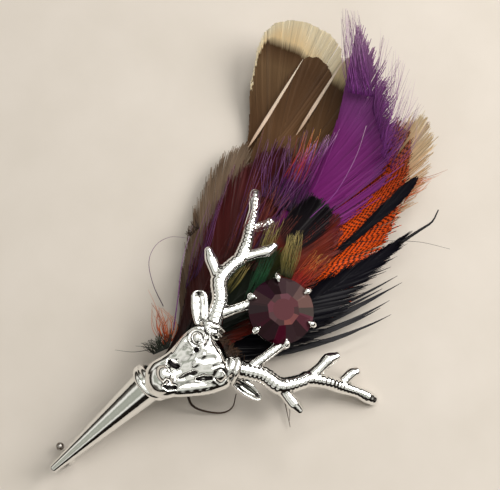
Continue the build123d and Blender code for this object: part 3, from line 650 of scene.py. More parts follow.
def pressed(points, faces):
    """Work the face: waves from the hammer, and strokes pressed into its upper side."""
    spots = level(points)
    upward = normals_of(points, faces)[0] @ LEVEL_AXES[2]
    # Strokes fade out where the face turns down
    upper = np.clip(upward * 1.6, 0, 1) * (spots[:, 2] > FACE_FLOOR)
    x, y = spots[:, 0], spots[:, 1]
    # Waves about 2 mm long
    wave = np.sin(3.3 * x + 0.8 * y) * np.sin(2.7 * y - 1.1 * x + 0.6)
    push = HAMMERED * wave * (y > FACE_FRONT) * (y < FACE_BACK) * (np.abs(x) < FACE_HALF)
    for start, end, width, depth, ring in STROKES:
        run = np.subtract(end, start)
        share = np.clip((spots[:, :2] - start) @ run / (run @ run), 0, 1)
        away = np.linalg.norm(spots[:, :2] - start - share[:, None] * run, axis=1)
        # A stroke is narrower at its ends, a dot is not
        narrowed = 1 - 0.4 * np.abs(2 * share - 1) ** 1.5 * (np.linalg.norm(run) > 0.2)
        push += depth * np.exp(-(((away - ring + RAGGED_STROKE * wave) / (width * narrowed)) ** 2))
    return points - (push * upper)[:, None] * LEVEL_AXES[2]


def ear(root, tip, lift, widths):
    """A cupped ear with raised rims."""
    length = np.linalg.norm(tip - root)
    run = (tip - root) / length
    up = unit(lift - run * lift.dot(run))
    to_side = np.cross(up, run)
    turn = turns(36)
    made = []
    for share in np.linspace(0, 1, 40):
        wide = np.interp(share, (0, 0.25, 0.55, 0.85, 0.96, 1), widths) / 2
        hollow = np.interp(share, (0, 0.1, 0.3, 0.85, 1), (0, 0.5, 1, 0.9, 0.2))
        body = EAR_THICK * np.interp(share, (0, 0.3, 0.8, 1), (1, 1, 0.8, 0.45)) / 2
        cup = np.clip(1 - (np.cos(turn) / EAR_HOLLOW) ** 2, 0, 1)
        dip = np.where(np.sin(turn) > 0, hollow * cup, 0)
        rim = root + run * share * length + np.outer(np.cos(turn) * wide, to_side)
        made.append(rim + np.outer(np.sin(turn) * body - dip, up))
    return rings(made)


def squared(values):
    """Cosines or sines for a section of the head, which is a little squarer than an ellipse."""
    return np.sign(values) * np.abs(values) ** HEAD_ROUND


shells = []
for side in (-1, 1):
    shells.append(antler_bar(BEAM, side, BEAM_RIBS))
    shells += [antler_bar(tine, side, TINE_RIBS) for tine in TINES]
    foot = antler_point(BEAM[0], side)
    run = unit(antler_point(BEAM[1], side) - foot)
    shells += [wavy_ring(foot + run * step, run, size, BURR_WIRE) for step, size in BURR_RINGS]
    # Swelling under the burr
    shells.append(tube([foot - run * 1.8, foot, foot + run * 0.8], [1.6, 2.1, 1.8]))

# Brow tines, from the beams to the cup under the stone
for side, angle in zip((-1, 1), BROW_ENDS):
    root = antler_point(BROW_ROOT, side)
    end = on_stone(BROW_END_RADIUS, angle, BROW_END_HEIGHT)
    middle = (root + end) / 2 + along(0, 0, BROW_BOW)
    shells.append(tube([root, middle, end], [1.2, 0.92, 1.0], ribs=BROW_RIBS))

# Skull and muzzle
turn = turns(60)
made = []
places = np.linspace(HEAD[0, 0], HEAD[-1, 0], 110)
sections = np.column_stack([np.interp(places, HEAD[:, 0], HEAD[:, i]) for i in (1, 2, 3, 4)])
for _ in range(HEAD_SWEEPS):
    sections[1:-1] = (sections[:-2] + 2 * sections[1:-1] + sections[2:]) / 4
for place, (left, right, low, high) in zip(places, sections):
    x = (left + right) / 2 + (right - left) / 2 * squared(np.cos(turn))
    z = (low + high) / 2 + (high - low) / 2 * squared(np.sin(turn))
    made.append(np.array([at(a, place, b) for a, b in zip(x, z)]))
shells.append(rings(made))
# Muzzle, nose and eyes
for centre, radii in (
    ((-0.45, -24.1, 11.9), (3.3, 3.3, 2.6)), ((-0.9, -23.7, 13.95), (1.75, 1.35, 1.3)),
    ((-3.76, -15.6, 13.8), (1.1, 1.1, 1.0)), ((4.06, -15.3, 12.9), (1.0, 1.0, 1.0)),
):
    shells.append(ball(at(*centre), radii))
# Cheek and brow ridges
for line, radii in (
    (((2.2, -22.9, 11.9), (3.3, -20.4, 12.0), (4.3, -17.8, 12.0), (4.8, -15.4, 11.8)), (1.6, 1.7, 1.8, 1.8)),
    (((-3.1, -20.6, 12.8), (-4.3, -17.8, 13.1), (-4.6, -16.2, 13.1)), (0.6, 0.9, 0.8)),
    (((1.6, -17.4, 14.0), (3.2, -16.4, 13.8), (4.4, -14.2, 13.2)), (0.5, 0.6, 0.6)),
):
    shells.append(tube([at(*p) for p in line], radii))
# Lids round the eyes
for centre, tilt, radius, thick in (
    ((-3.7, -15.6, 14.1), (-0.35, 0.0, 1.0), 1.42, 0.3), ((-3.6, -15.5, 13.9), (-0.35, 0.0, 1.0), 2.05, 0.26),
    ((4.06, -15.3, 13.3), (0.5, 0.0, 1.0), 1.22, 0.24),
):
    shells.append(ring_bar(at(*centre), along(*tilt), radius, thick))
# Ears: root, tip, the way the hollow faces, and widths from root to tip
for root, tip, lift, widths in (
    ((-5.6, -13.8, 12.0), (-11.0, -11.05, 12.2), (-0.15, 0.1, 1), (2.0, 2.8, 3.1, 2.9, 2.2, 1.3)),
    ((5.7, -13.5, 10.9), (11.3, -10.8, 9.0), (0.3, -0.2, 1), (1.9, 2.7, 2.9, 2.0, 1.2, 0.5)),
):
    shells.append(ear(at(*root), at(*tip), along(*lift), widths))

points, faces = fused(shells, VOXEL)
points = pressed(points, faces)
# The depth of its grooves sets the painted groove shade of the plate
stag = new_piece("stag_head_and_antlers", points, faces, rhodium, {"groove": grooves(points, faces)})

# Cone with its rolled rim, blind socket and the collar behind the muzzle
TIP_DISTANCE = 24.2
COLLAR_TILT = radians(24)
CONE_PROFILE = [
    (0.02, TIP_DISTANCE), (0.55, TIP_DISTANCE), (0.72, TIP_DISTANCE - 0.1), (0.78, TIP_DISTANCE - 0.35),
    (3.12, 1.2), (3.3, 0.72), (3.62, 0.5), (3.76, 0.0), (3.62, -0.42), (3.3, -0.55), (3.05, -0.42),
    (2.96, 0.0), (2.25, 7.0), (0.02, 7.0),
]
collar_run = CONE_RUN * cos(COLLAR_TILT) - np.array([0, 0, 1]) * sin(COLLAR_TILT)
# The cone, the bead behind its rim, and the collar
cone = clean_metal("tapered_cone", [
    lathe(CONE_PROFILE, MOUTH, CONE_RUN, sides=96),
    ring_bar(MOUTH + CONE_RUN * 1.35, CONE_RUN, 3.14, 0.22, sides=96),
    ring_bar(MOUTH + CONE_RUN * 0.5, collar_run, 3.3, 0.68, sides=96),
], rhodium)

# Claw cup: six claws end in drops that lean over the stone's edge
CLAWS, CLAW_TURN = 6, 37
CUP_PROFILE = [(5.86, -0.42), (5.86, -1.22), (3.76, -2.0), (3.76, -1.6)]
# Along a claw: the distance from the stone's middle, the height over its girdle, and the radius
CLAW = (
    (5.2, -1.2, 0.34), (6.42, -0.8, 0.34), (6.5, 0.1, 0.4), (6.3, 0.75, 0.58), (5.8, 1.05, 0.56),
    (5.3, 1.1, 0.24),
)
shells = [lathe(CUP_PROFILE, STONE_MIDDLE, stone_up, sides=72)]
for claw in range(CLAWS):
    angle = radians(CLAW_TURN + 360 / CLAWS * claw)
    path = [on_stone(radius, angle, height) for radius, height, _ in CLAW]
    shells.append(tube(path, [row[2] for row in CLAW], sides=18))
claws = clean_metal("claw_cup", shells, rhodium)

# Catch and hinge under the cone
CATCH_AT, HINGE_AT = 20.5, 4.6
HOOK_RADIUS, HOOK_HEIGHT = 0.84, 1.09
cone_level = unit(np.array([CONE_RUN[0], CONE_RUN[1], 0.0]))
right = np.array([-cone_level[1], cone_level[0], 0.0])


def under_cone(distance, side, height):
    """A point under the cone's line: distance from its mouth, to the right, and over the table."""
    middle = MOUTH + CONE_RUN * distance
    return np.array([middle[0], middle[1], 0.0]) + right * side + np.array([0, 0, height])


def bent_strip(corners, width, thick, distance):
    """A strip of sheet bent through (side, height) points."""
    line, _ = smooth_path([(s, h, 0) for s, h in corners], 0.12)
    run = headings(line)
    made = []
    for (s, h, _), (rs, rh, _) in zip(line, run):
        inner = (s - rh * thick / 2, h + rs * thick / 2)
        outer = (s + rh * thick / 2, h - rs * thick / 2)
        near, far = distance - width / 2, distance + width / 2
        made.append(np.array([under_cone(near, *inner), under_cone(far, *inner),
                              under_cone(far, *outer), under_cone(near, *outer)]))
    return rings(made)


hook = [(-HOOK_RADIUS * cos(a), HOOK_HEIGHT - HOOK_RADIUS * sin(a)) for a in np.linspace(0.4, pi - 0.2, 6)]
catch_corners = [(-HOOK_RADIUS, HOOK_HEIGHT)] + hook + [(HOOK_RADIUS, h) for h in (1.5, 3.4, 5.0)]
knob_at = under_cone(CATCH_AT, -2.7, 1.75)
hinge_ends = [under_cone(HINGE_AT, side, 1.9) for side in (-1.2, 1.2)]
# The catch, its thumb lever and the hinge's rivet, then the hinge's two ears
shells = [
    bent_strip(catch_corners, 1.6, 0.48, CATCH_AT),
    tube([under_cone(CATCH_AT, -HOOK_RADIUS, HOOK_HEIGHT), knob_at], [0.27, 0.25], sides=14),
    tube(hinge_ends, [0.45, 0.45], sides=18),
]
for side in (-1.04, 1.04):
    shells.append(bent_strip([(side, 0.95), (side, 3.0), (side, 6.4)], 2.0, 0.58, HINGE_AT))
findings = clean_metal("catch_and_hinge", shells, rhodium)
knob = clean_metal("catch_knob", [ball(knob_at, (0.75, 0.75, 0.75))], wire)
for piece in (stag, cone, claws, findings, knob):
    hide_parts("stag_casting")
    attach(piece, "root")

for node, material in (("stone", glass), ("brooch_pin", wire)):
    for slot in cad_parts[node].material_slots:
        slot.material = material

# Feathers: thin sheets that fan out from the cone's mouth

# How far the plume reaches, how high its tips rise, and how high its layers stack
PLUME_REACH, PLUME_RISE, PLUME_STACK, PLUME_LAYERS = 82.0, 12.5, 6.8, 10
# A blade's share of its layer, and how far under the mouth's middle the lowest quill lies
BLADE_SHARE, QUILL_FLOOR = 0.66, 2.1
# Within this length a stem turns from the cone's heading to its own
TURN_LENGTH = 13.94
# The sheets' height on rings about the mouth: shares of the reach, of the lowest quill's height,
# of the rise and of the stack
RINGS = np.array((
    (0.00, 1.00, 0.00, 0.59), (0.03, 1.00, 0.00, 0.59), (0.08, 0.68, 0.00, 0.74), (0.14, 0.37, 0.00, 0.87),
    (0.24, 0.08, 0.00, 0.97), (0.32, 0.00, 0.00, 1.00), (0.50, 0.00, 0.00, 0.94), (0.58, 0.00, 0.06, 0.90),
    (0.66, 0.00, 0.18, 0.85), (0.78, 0.00, 0.46, 0.78), (0.89, 0.00, 0.74, 0.68), (1.00, 0.00, 1.00, 0.58),
    (1.15, 0.00, 1.30, 0.50),
))


def sheet_height(x, y, layer, up):
    """How high a layer of the plume lies over the table: up is 0 for its underside, 1 for its top."""
    share = np.hypot(x - MOUTH[0], y - MOUTH[1]) / PLUME_REACH
    floor, rise, stack = (np.interp(share, RINGS[:, 0], RINGS[:, i]) for i in (1, 2, 3))
    blade = PLUME_STACK / PLUME_LAYERS * (layer + up * BLADE_SHARE)
    return floor * (MOUTH[2] - QUILL_FLOOR) + rise * PLUME_RISE + stack * blade


# A feather's place and form. slot is its place across the mouth, lean and curl turn it, left and
# right widen its two vanes, outline names their forms, stem is the share of its length that the
# stem takes, and angles are those of its first and last barbs. count, wide, loose, uneven, wisps,
# bend and taper are for its barbs, and wisps are the few long ones. margin is the share of a left
# barb's end that has the colour of the feather's tip, and slant moves the colours of the right vane
# towards the tip, most at its edge.
Feather = namedtuple(
    "Feather",
    "node material layer slot lean curl length width left right outline stem angles count wide loose "
    "uneven wisps bend taper margin slant",
    defaults=(0, 0),
)
# How wide a vane is along its length: shares of the length and of the width
OUTLINES = {
    "blunt": ((0, 0.04), (0.07, 0.12), (0.20, 0.42), (0.42, 0.76), (0.66, 1.00), (0.86, 1.00), (0.93, 0.94),
              (0.97, 0.78), (0.99, 0.50), (1.0, 0.10)),
    "round": ((0, 0.04), (0.07, 0.12), (0.20, 0.42), (0.42, 0.76), (0.66, 1.00), (0.84, 0.94), (0.95, 0.58),
              (1.0, 0.05)),
    "pointed": ((0, 0.06), (0.08, 0.16), (0.25, 0.60), (0.48, 1.00), (0.70, 0.90), (0.86, 0.52), (0.95, 0.22),
                (1.0, 0.02)),
    "flame": ((0, 0.04), (0.10, 0.14), (0.30, 0.30), (0.50, 0.34), (0.60, 0.52), (0.70, 0.86), (0.78, 1.00),
              (0.86, 0.72), (0.93, 0.32), (1.0, 0.05)),
    "early": ((0, 0.06), (0.08, 0.20), (0.25, 0.70), (0.45, 1.00), (0.60, 0.95), (0.72, 0.55), (0.85, 0.34),
              (1.0, 0.04)),
    "strip": ((0, 0.15), (0.40, 0.15), (0.60, 0.24), (0.76, 0.60), (0.86, 0.95), (0.94, 1.00), (0.98, 0.60),
              (1.0, 0.10)),
    "club": ((0, 0.04), (0.07, 0.10), (0.20, 0.25), (0.42, 0.40), (0.60, 0.42), (0.70, 0.54), (0.80, 0.84),
             (0.88, 0.97), (0.94, 0.96), (0.975, 0.76), (0.992, 0.46), (1.0, 0.10)),
    "inner": ((0, 0.05), (0.10, 0.20), (0.30, 0.50), (0.45, 0.95), (0.52, 1.00), (0.60, 0.62), (0.70, 0.26),
              (0.80, 0.18), (0.90, 0.22), (1.0, 0.05)),
}
FEATHERS = (
    Feather("cream_feather_left", cream_barbs, 0, -0.3, 38.2, 5.7, 73.0, 17.5, 1.0, 1.12, "club blunt", 0.9,
            (42, 2), 820, 0.36, 1.0, 0.02, 0.0, 0.05, 0.2, 0.045, -0.06),
    Feather("cream_feather_right", tip_barbs, 1, 1.0, 7.4, 24.7, 71.0, 12.0, 1.3, 1.1, "round", 0.88,
            (38, 4), 560, 0.24, 4, 0.12, 0.1, 0.05, 0.6),
    Feather("cream_feather_middle", brown_barbs, 2, -1.0, 38.5, -7.9, 67.5, 12.0, 0.60, 1.1, "blunt", 0.9,
            (38, 3), 640, 0.3, 1.2, 0.03, 0.0, 0.05, 0.2),
    Feather("cream_feather_high", high_barbs, 3, 0.6, 29.3, 5.7, 71.0, 11.0, 0.50, 1.0, "blunt", 0.9,
            (38, 3), 640, 0.3, 1.2, 0.03, 0.0, 0.05, 0.2),
    Feather("tan_feather", tan_barbs, 4, -1.6, 50.9, -22.2, 48.4, 7.5, 1.1, 1.3, "round", 0.90,
            (28, 4), 460, 0.2, 3, 0.12, 0.1, 0.08, 0.6),
    Feather("orange_feather", orange_barbs, 5, 1.3, 10.0, 16.3, 66.0, 14.0, 1.35, 1.5, "blunt pointed", 0.88,
            (40, 6), 800, 0.26, 2.0, 0.08, 0.12, 0.05, 0.5),
    Feather("burgundy_feather", burgundy_barbs, 6, -1.4, 41.7, -22.5, 50.0, 11.0, 0.85, 1.4, "round", 0.88,
            (32, 4), 700, 0.24, 3, 0.12, 0.2, 0.06, 0.6),
    Feather("black_strip", black_barbs, 6.4, 1.6, 6.2, 8.8, 61.5, 2.1, 1.0, 1.0, "strip", 0.97,
            (18, 4), 600, 0.2, 1.0, 0.05, 0.0, 0.0, 0.4),
    Feather("black_feather", black_barbs, 7, 1.7, -3.8, 13.6, 54.5, 8.5, 0.95, 1.6, "early", 0.9,
            (28, 4), 520, 0.24, 3, 0.2, 0.2, 0.06, 0.8),
    Feather("purple_feather", purple_barbs, 7.7, 0.2, 13.6, 46.0, 71.0, 15.0, 0.5, 1.20, "inner flame", 0.86,
            (34, 2), 760, 0.24, 2.5, 0.10, 0.2, 0.04, 0.5),
    Feather("purple_feather", purple_barbs, 8, -0.3, 15.7, 49.4, 77.5, 15.0, 0.45, 1.22, "inner flame", 0.86,
            (36, 2), 980, 0.24, 1.6, 0.08, 0.15, 0.04, 0.5),
    Feather("rust_feather", red_barbs, 8.8, 0.9, 8.6, 16.0, 46.0, 10.0, 0.9, 1.0, "round", 0.90,
            (34, 4), 460, 0.22, 3, 0.12, 0.1, 0.06, 0.6),
    Feather("rust_feather", rust_barbs, 9, 0.3, 13.3, 22.2, 45.6, 11.0, 0.7, 1.2, "blunt", 0.88,
            (36, 4), 560, 0.24, 3, 0.10, 0.1, 0.06, 0.5, 0, 0.09),
    Feather("green_feather", green_barbs, 10, -0.3, 16.5, 0.5, 34.0, 9.5, 1.0, 1.0, "round", 0.84,
            (28, 6), 320, 0.2, 6, 0.25, 0.1, 0.06, 0.8),
)
PATH_STEPS = 80
# Clumps and tufts of barbs along a stem, and how much each swings them
CLUMPS, TUFTS, CLUMP_SWING, TUFT_SWING = 16.0, 90.0, 3.0, 1.6
# The higher this is, the fewer barbs are long wisps
WISPS_RARE = 9.0
# How fast the barbs' angle changes towards the tip, and the limits of a barb's length
ANGLE_FORM, SHORTEST_BARB, LONGEST_BARB = 2.5, 0.8, 30
# Colours of a margin start this far along the feather
MARGIN_START = 0.80
# A barb: the lowest one's height in its blade, how much higher the highest lies, how far it twists
# about its own line, and how many pieces it has along it
BARB_LOW, BARB_LIFT, BARB_TWIST, BARB_PIECES = 0.1, 0.9, 1.2, 10
# Heights in a layer, where 0 is its underside and 1 its top
STEM_UP, HORN_UP, BIOT_UP = 0.75, 1.2, 0.5
# One point in so many of a path is enough for a stem
STEM_SKIP = 4
# A quill: how far it runs into the socket, and its radius there and at the stem's tip
QUILL_INSIDE, QUILL_RADIUS, STEM_TIP_RADIUS = 3.0, 0.3, 0.05
HORN_RADIUS = 0.34


def feather_path(feather):
    """Points along a feather's stem, seen from above."""
    heading = radians(PLUME_HEADING)
    x = MOUTH[0] + cos(heading) * feather.slot
    y = MOUTH[1] + sin(heading) * feather.slot
    made = []
    for step in range(PATH_STEPS + 1):
        share = step / PATH_STEPS
        turned = min(1, share * feather.length / TURN_LENGTH)
        turned = turned * turned * (3 - 2 * turned)
        lean = PLUME_HEADING + (feather.lean - PLUME_HEADING) * turned
        heading = radians(lean + feather.curl * share**2)
        made.append((x, y, 0.0))
        x -= sin(heading) * feather.length / PATH_STEPS
        y += cos(heading) * feather.length / PATH_STEPS
    return np.array(made)


def barb_tree():
    """Barbs that grow to both sides of a line, with what is stored for each point."""
    tree = bpy.data.node_groups.new("barbs_along_a_stem", "GeometryNodeTree")
    face = tree.interface
    face.new_socket("Stem", in_out="INPUT", socket_type="NodeSocketGeometry")
    for name, kind, value in (
        ("Count", "NodeSocketInt", 100), ("Seed", "NodeSocketInt", 1), ("Barb width", "NodeSocketFloat", 0.2),
        ("Loose", "NodeSocketFloat", 0.1), ("Wisps", "NodeSocketFloat", 0.0),
        ("Uneven", "NodeSocketFloat", 0.1), ("Bend", "NodeSocketFloat", 0.1),
        ("Taper", "NodeSocketFloat", 0.5), ("Segments", "NodeSocketInt", 10),
    ):
        face.new_socket(name, in_out="INPUT", socket_type=kind).default_value = value
    face.new_socket("Material", in_out="INPUT", socket_type="NodeSocketMaterial")
    face.new_socket("Barbs", in_out="OUTPUT", socket_type="NodeSocketGeometry")
    node = partial(add_node, tree)
    given = node("NodeGroupInput").outputs
    result = node("NodeGroupOutput")
    place = node("GeometryNodeInputPosition", output="Position")
    stored = {}
    for kind, names in (
        ("FLOAT", ("share", "angle", "left_length", "right_length", "out", "edge", "side")),
        ("FLOAT_VECTOR", ("root", "barb")),
    ):
        for name in names:
            wanted = {"Name": name}
            stored[name] = node("GeometryNodeInputNamedAttribute", wanted, "Attribute", data_type=kind)

    # One barb's strip: out runs from 0 to 1 along it, and edge from -0.5 to 0.5 across it
    crossings = node("ShaderNodeMath", [given["Segments"], 1.0], "Value", operation="ADD")
    size = {"Size X": 1.0, "Size Y": 1.0, "Vertices X": crossings, "Vertices Y": 2}
    strip = node("GeometryNodeMeshGrid", size, "Mesh")
    spot = node("ShaderNodeSeparateXYZ", [place]).outputs
    out = node("ShaderNodeMath", [spot["X"], 0.5], "Value", operation="ADD")
    for name, value in (("out", out), ("edge", spot["Y"])):
        number = {"Geometry": strip, "Name": name, "Value": value}
        strip = node("GeometryNodeStoreNamedAttribute", number, "Geometry", data_type="FLOAT")

    curve = node("GeometryNodeMeshToCurve", [given["Stem"]], "Curve")
    spread = {"Curve": curve, "Count": given["Count"]}
    spots = node("GeometryNodeCurveToPoints", spread, mode="COUNT").outputs
    both = node("GeometryNodeJoinGeometry")
    for side, length in ((-1.0, "left_length"), (1.0, "right_length")):
        seed = node("ShaderNodeMath", [given["Seed"], 50 + 7 * side], "Value", operation="ADD")
        chance = []
        for k in range(3):
            own = node("ShaderNodeMath", [seed, 100.0 * k], "Value", operation="ADD")
            chance.append(node("FunctionNodeRandomValue", {"Seed": own}, 1, data_type="FLOAT"))
        waves = []
        for often in (CLUMPS, TUFTS):
            run = [stored["share"], often, seed]
            place_along = node("ShaderNodeMath", run, "Value", operation="MULTIPLY_ADD")
            noise = {"W": place_along, "Scale": 1.0, "Detail": 2.0}
            wave = node("ShaderNodeTexNoise", noise, 0, noise_dimensions="1D")
            waves.append(node("ShaderNodeMath", [wave, 0.5], "Value", operation="SUBTRACT"))
        clump, tuft = waves
        # A barb's angle to the stem
        alone = node("ShaderNodeMath", [chance[0], 0.5], "Value", operation="SUBTRACT")
        swing = node("ShaderNodeMath", [tuft, TUFT_SWING], "Value", operation="MULTIPLY")
        swing = node("ShaderNodeMath", [clump, CLUMP_SWING, swing], "Value", operation="MULTIPLY_ADD")
        swing = node("ShaderNodeMath", [swing, alone], "Value", operation="ADD")
        swung = [swing, given["Loose"], stored["angle"]]
        angle = node("ShaderNodeMath", swung, "Value", operation="MULTIPLY_ADD")
        angle = node("ShaderNodeMath", [angle, -side], "Value", operation="MULTIPLY")
        # Its length: a little shorter than the vane's outline, or a long wisp
        short = node("ShaderNodeMath", [chance[1], chance[1], tuft], "Value", operation="MULTIPLY_ADD")
        short = node("ShaderNodeMath", [short, given["Uneven"]], "Value", operation="MULTIPLY")
        long = node("ShaderNodeMath", [chance[0], WISPS_RARE], "Value", operation="POWER")
        long = node("ShaderNodeMath", [long, given["Wisps"]], "Value", operation="MULTIPLY")
        size = node("ShaderNodeMath", [1.0, short], "Value", operation="SUBTRACT")
        size = node("ShaderNodeMath", [size, long], "Value", operation="ADD")
        size = node("ShaderNodeMath", [stored[length], size], "Value", operation="MULTIPLY")
        turned = {"Vector": spots["Tangent"], "Angle": angle}
        heading = node("ShaderNodeVectorRotate", turned, "Vector", rotation_type="Z_AXIS")
        scaled = {0: heading, "Scale": size}
        barb = node("ShaderNodeVectorMath", scaled, "Vector", operation="SCALE")
        roots = spots["Points"]
        for name, value, kind in (
            ("root", place, "FLOAT_VECTOR"), ("barb", barb, "FLOAT_VECTOR"), ("shade", chance[2], "FLOAT"),
            ("tuft", tuft, "FLOAT"), ("side", side, "FLOAT"),
        ):
            number = {"Geometry": roots, "Name": name, "Value": value}
            roots = node("GeometryNodeStoreNamedAttribute", number, "Geometry", data_type=kind)
        placed = {"Points": roots, "Instance": strip}
        instances = node("GeometryNodeInstanceOnPoints", placed, "Instances")
        tree.links.new(instances, both.inputs["Geometry"])
    real = node("GeometryNodeRealizeInstances", [both.outputs["Geometry"]], "Geometry")

    # Each point's place: out along its barb, back by the barb's bend, and across by its width
    barb, out = stored["barb"], stored["out"]
    back = node("ShaderNodeVectorMath", [barb, (0.0, 0.0, 1.0)], "Vector", operation="CROSS_PRODUCT")
    back = node("ShaderNodeVectorMath", [back], "Vector", operation="NORMALIZE")
    bend = node("ShaderNodeVectorMath", [barb], "Value", operation="LENGTH")
    bend = node("ShaderNodeMath", [bend, given["Bend"]], "Value", operation="MULTIPLY")
    squared_out = node("ShaderNodeMath", [out, out], "Value", operation="MULTIPLY")
    bend = node("ShaderNodeMath", [bend, squared_out], "Value", operation="MULTIPLY")
    inwards = node("ShaderNodeMath", [stored["side"], -1.0], "Value", operation="MULTIPLY")
    bend = node("ShaderNodeMath", [bend, inwards], "Value", operation="MULTIPLY")
    taper = node("ShaderNodeMath", [out, 3.0], "Value", operation="POWER")
    taper = node("ShaderNodeMath", [taper, given["Taper"]], "Value", operation="MULTIPLY")
    taper = node("ShaderNodeMath", [1.0, taper], "Value", operation="SUBTRACT")
    width = node("ShaderNodeMath", [stored["edge"], given["Barb width"]], "Value", operation="MULTIPLY")
    width = node("ShaderNodeMath", [width, taper], "Value", operation="MULTIPLY")
    width = node("ShaderNodeMath", [bend, width], "Value", operation="ADD")
    where = stored["root"]
    for direction, size in ((barb, out), (back, width)):
        step = node("ShaderNodeVectorMath", {0: direction, "Scale": size}, "Vector", operation="SCALE")
        where = node("ShaderNodeVectorMath", [where, step], "Vector", operation="ADD")
    moved = node("GeometryNodeSetPosition", {"Geometry": real, "Position": where}, "Geometry")
    dyed = {"Geometry": moved, "Material": given["Material"]}
    tree.links.new(node("GeometryNodeSetMaterial", dyed, "Geometry"), result.inputs["Barbs"])
    return tree


BARBS = barb_tree()


def barb_lengths(feather, share, side, form):
    """The angle of the barbs along a stem, and the length at which each meets the vane's outline."""
    outline = np.array(OUTLINES[form])
    first, last = feather.angles
    angle = np.radians(first + (last - first) * share**ANGLE_FORM)
    tried = np.linspace(0, LONGEST_BARB, 301)
    sizes = []
    for place, turn in zip(share, angle):
        reach = place * feather.stem + tried * cos(turn) / feather.length
        half = np.interp(reach, outline[:, 0], outline[:, 1], right=0.0) * feather.width / 2 * side
        past = tried * sin(turn) >= half
        sizes.append(max(SHORTEST_BARB, tried[np.argmax(past)]))
    return angle, np.array(sizes)


def grown(feather, seed):
    """The barbs of one feather, laid on its sheet: points, faces and numbers for each point."""
    path = feather_path(feather)
    used = int(PATH_STEPS * feather.stem) + 1
    stem = path[:used]
    share = np.arange(used) / (used - 1)
    forms = feather.outline.split()
    angle, left = barb_lengths(feather, share, feather.left, forms[0])
    right = barb_lengths(feather, share, feather.right, forms[-1])[1]
    mesh = bpy.data.meshes.new(feather.node + "_stem_line")
    mesh.from_pydata([tuple(p) for p in stem], [(i, i + 1) for i in range(used - 1)], [])
    numbers = {"share": share, "angle": angle, "left_length": left, "right_length": right}
    for name, values in numbers.items():
        mesh.attributes.new(name, "FLOAT", "POINT").data.foreach_set("value", values.astype(np.float32))
    holder = linked(feather.node + "_stem_line", mesh)
    barbs = holder.modifiers.new("Barbs", "NODES")
    barbs.node_group = BARBS
    settings = {
        "Count": feather.count, "Seed": seed,
        "Segments": BARB_PIECES, "Barb width": feather.wide, "Loose": radians(feather.loose),
        "Uneven": feather.uneven, "Wisps": feather.wisps, "Bend": feather.bend, "Taper": feather.taper,
        "Material": feather.material,
    }
    for item in BARBS.interface.items_tree:
        if item.in_out == "INPUT" and item.name in settings:
            barbs[item.identifier] = settings[item.name]
    made, points, faces = evaluated(holder)
    read = {}
    for name in ("out", "edge", "shade", "tuft", "side"):
        read[name] = np.empty(len(points))
        made.attributes[name].data.foreach_get("value", read[name])
    barb = np.empty(len(points) * 3)
    made.attributes["barb"].data.foreach_get("vector", barb)
    run = np.linalg.norm(barb.reshape(-1, 3), axis=1) * read["out"]
    reach = np.hypot(points[:, 0] - MOUTH[0], points[:, 1] - MOUTH[1]) / feather.length
    reach -= feather.slant * np.maximum(read["side"], 0) * (run / feather.width) ** 3
    margin = (read["side"] < 0) & (read["out"] > 1 - feather.margin) & (reach > MARGIN_START)
    reach = np.where(margin, 1.0, reach)
    # Half a barb's own shade and half its tuft's
    shade = 0.5 * read["shade"] + 0.5 * np.clip(read["tuft"] * 1.6 + 0.5, 0, 1)
    up = BARB_LOW + BARB_LIFT * read["shade"]
    points[:, 2] = sheet_height(points[:, 0], points[:, 1], feather.layer, up)
    points[:, 2] += read["edge"] * feather.wide * (read["shade"] - 0.5) * BARB_TWIST
    return points, faces, {"reach": reach, "run": run, "shade": shade}


def even(points, reach, shade=0.6):
    """The numbers for points of one plain tone."""
    return {"reach": reach, "run": np.zeros(len(points)), "shade": np.full(len(points), shade)}


def stem_of(feather):
    """A feather's stem, thinner towards its tip, and the quill that runs back into the socket."""
    path = feather_path(feather)[: int(PATH_STEPS * feather.stem) + 1 : STEM_SKIP]
    z = sheet_height(path[:, 0], path[:, 1], feather.layer, STEM_UP)
    line = np.column_stack([path[:, 0], path[:, 1], z])
    line = np.vstack([line[0] + CONE_RUN * QUILL_INSIDE, line])
    radii = np.linspace(QUILL_RADIUS, STEM_TIP_RADIUS, len(line))
    points, faces = tube(line, radii, sides=8, step=0.8, ends=2)
    return points, faces, even(points, np.linalg.norm(points - line[0], axis=1) / feather.length)


def pale_edge(layer, start, end):
    """A thin straight strip of horn on a layer of the plume, thickest a third of the way along."""
    share = np.linspace(0, 1, 24)
    spots = np.array([np.interp(share, (0, 1), pair) for pair in zip(start, end)]).T
    z = sheet_height(spots[:, 0], spots[:, 1], layer, HORN_UP)
    radii = HORN_RADIUS * np.interp(share, (0, 0.12, 0.35, 0.7, 1), (0.2, 0.8, 1, 0.7, 0.08))
    points, faces = tube(np.column_stack([spots, z]), radii, sides=10, step=0.6, flat=0.25, ends=2)
    away = np.linalg.norm(points[:, :2] - spots[0], axis=1)
    return points, faces, even(points, away / away.max())


def gathered(parts):
    """Several parts of points, faces and numbers as one."""
    numbers = {key: np.concatenate([part[2][key] for part in parts]) for key in parts[0][2]}
    return *joined([part[:2] for part in parts]), numbers


def add_feather_piece(name, node, parts, materials):
    """One object from parts of points, faces and numbers, one material for each part."""
    points, faces, numbers = gathered(parts)
    piece = new_piece(name, points, faces, materials[0], numbers)
    indices = []
    for i, part in enumerate(parts):
        indices += [i] * len(part[1])
    for material in materials[1:]:
        piece.data.materials.append(material)
    piece.data.polygons.foreach_set("material_index", indices)
    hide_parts(node)
    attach(piece, "root")


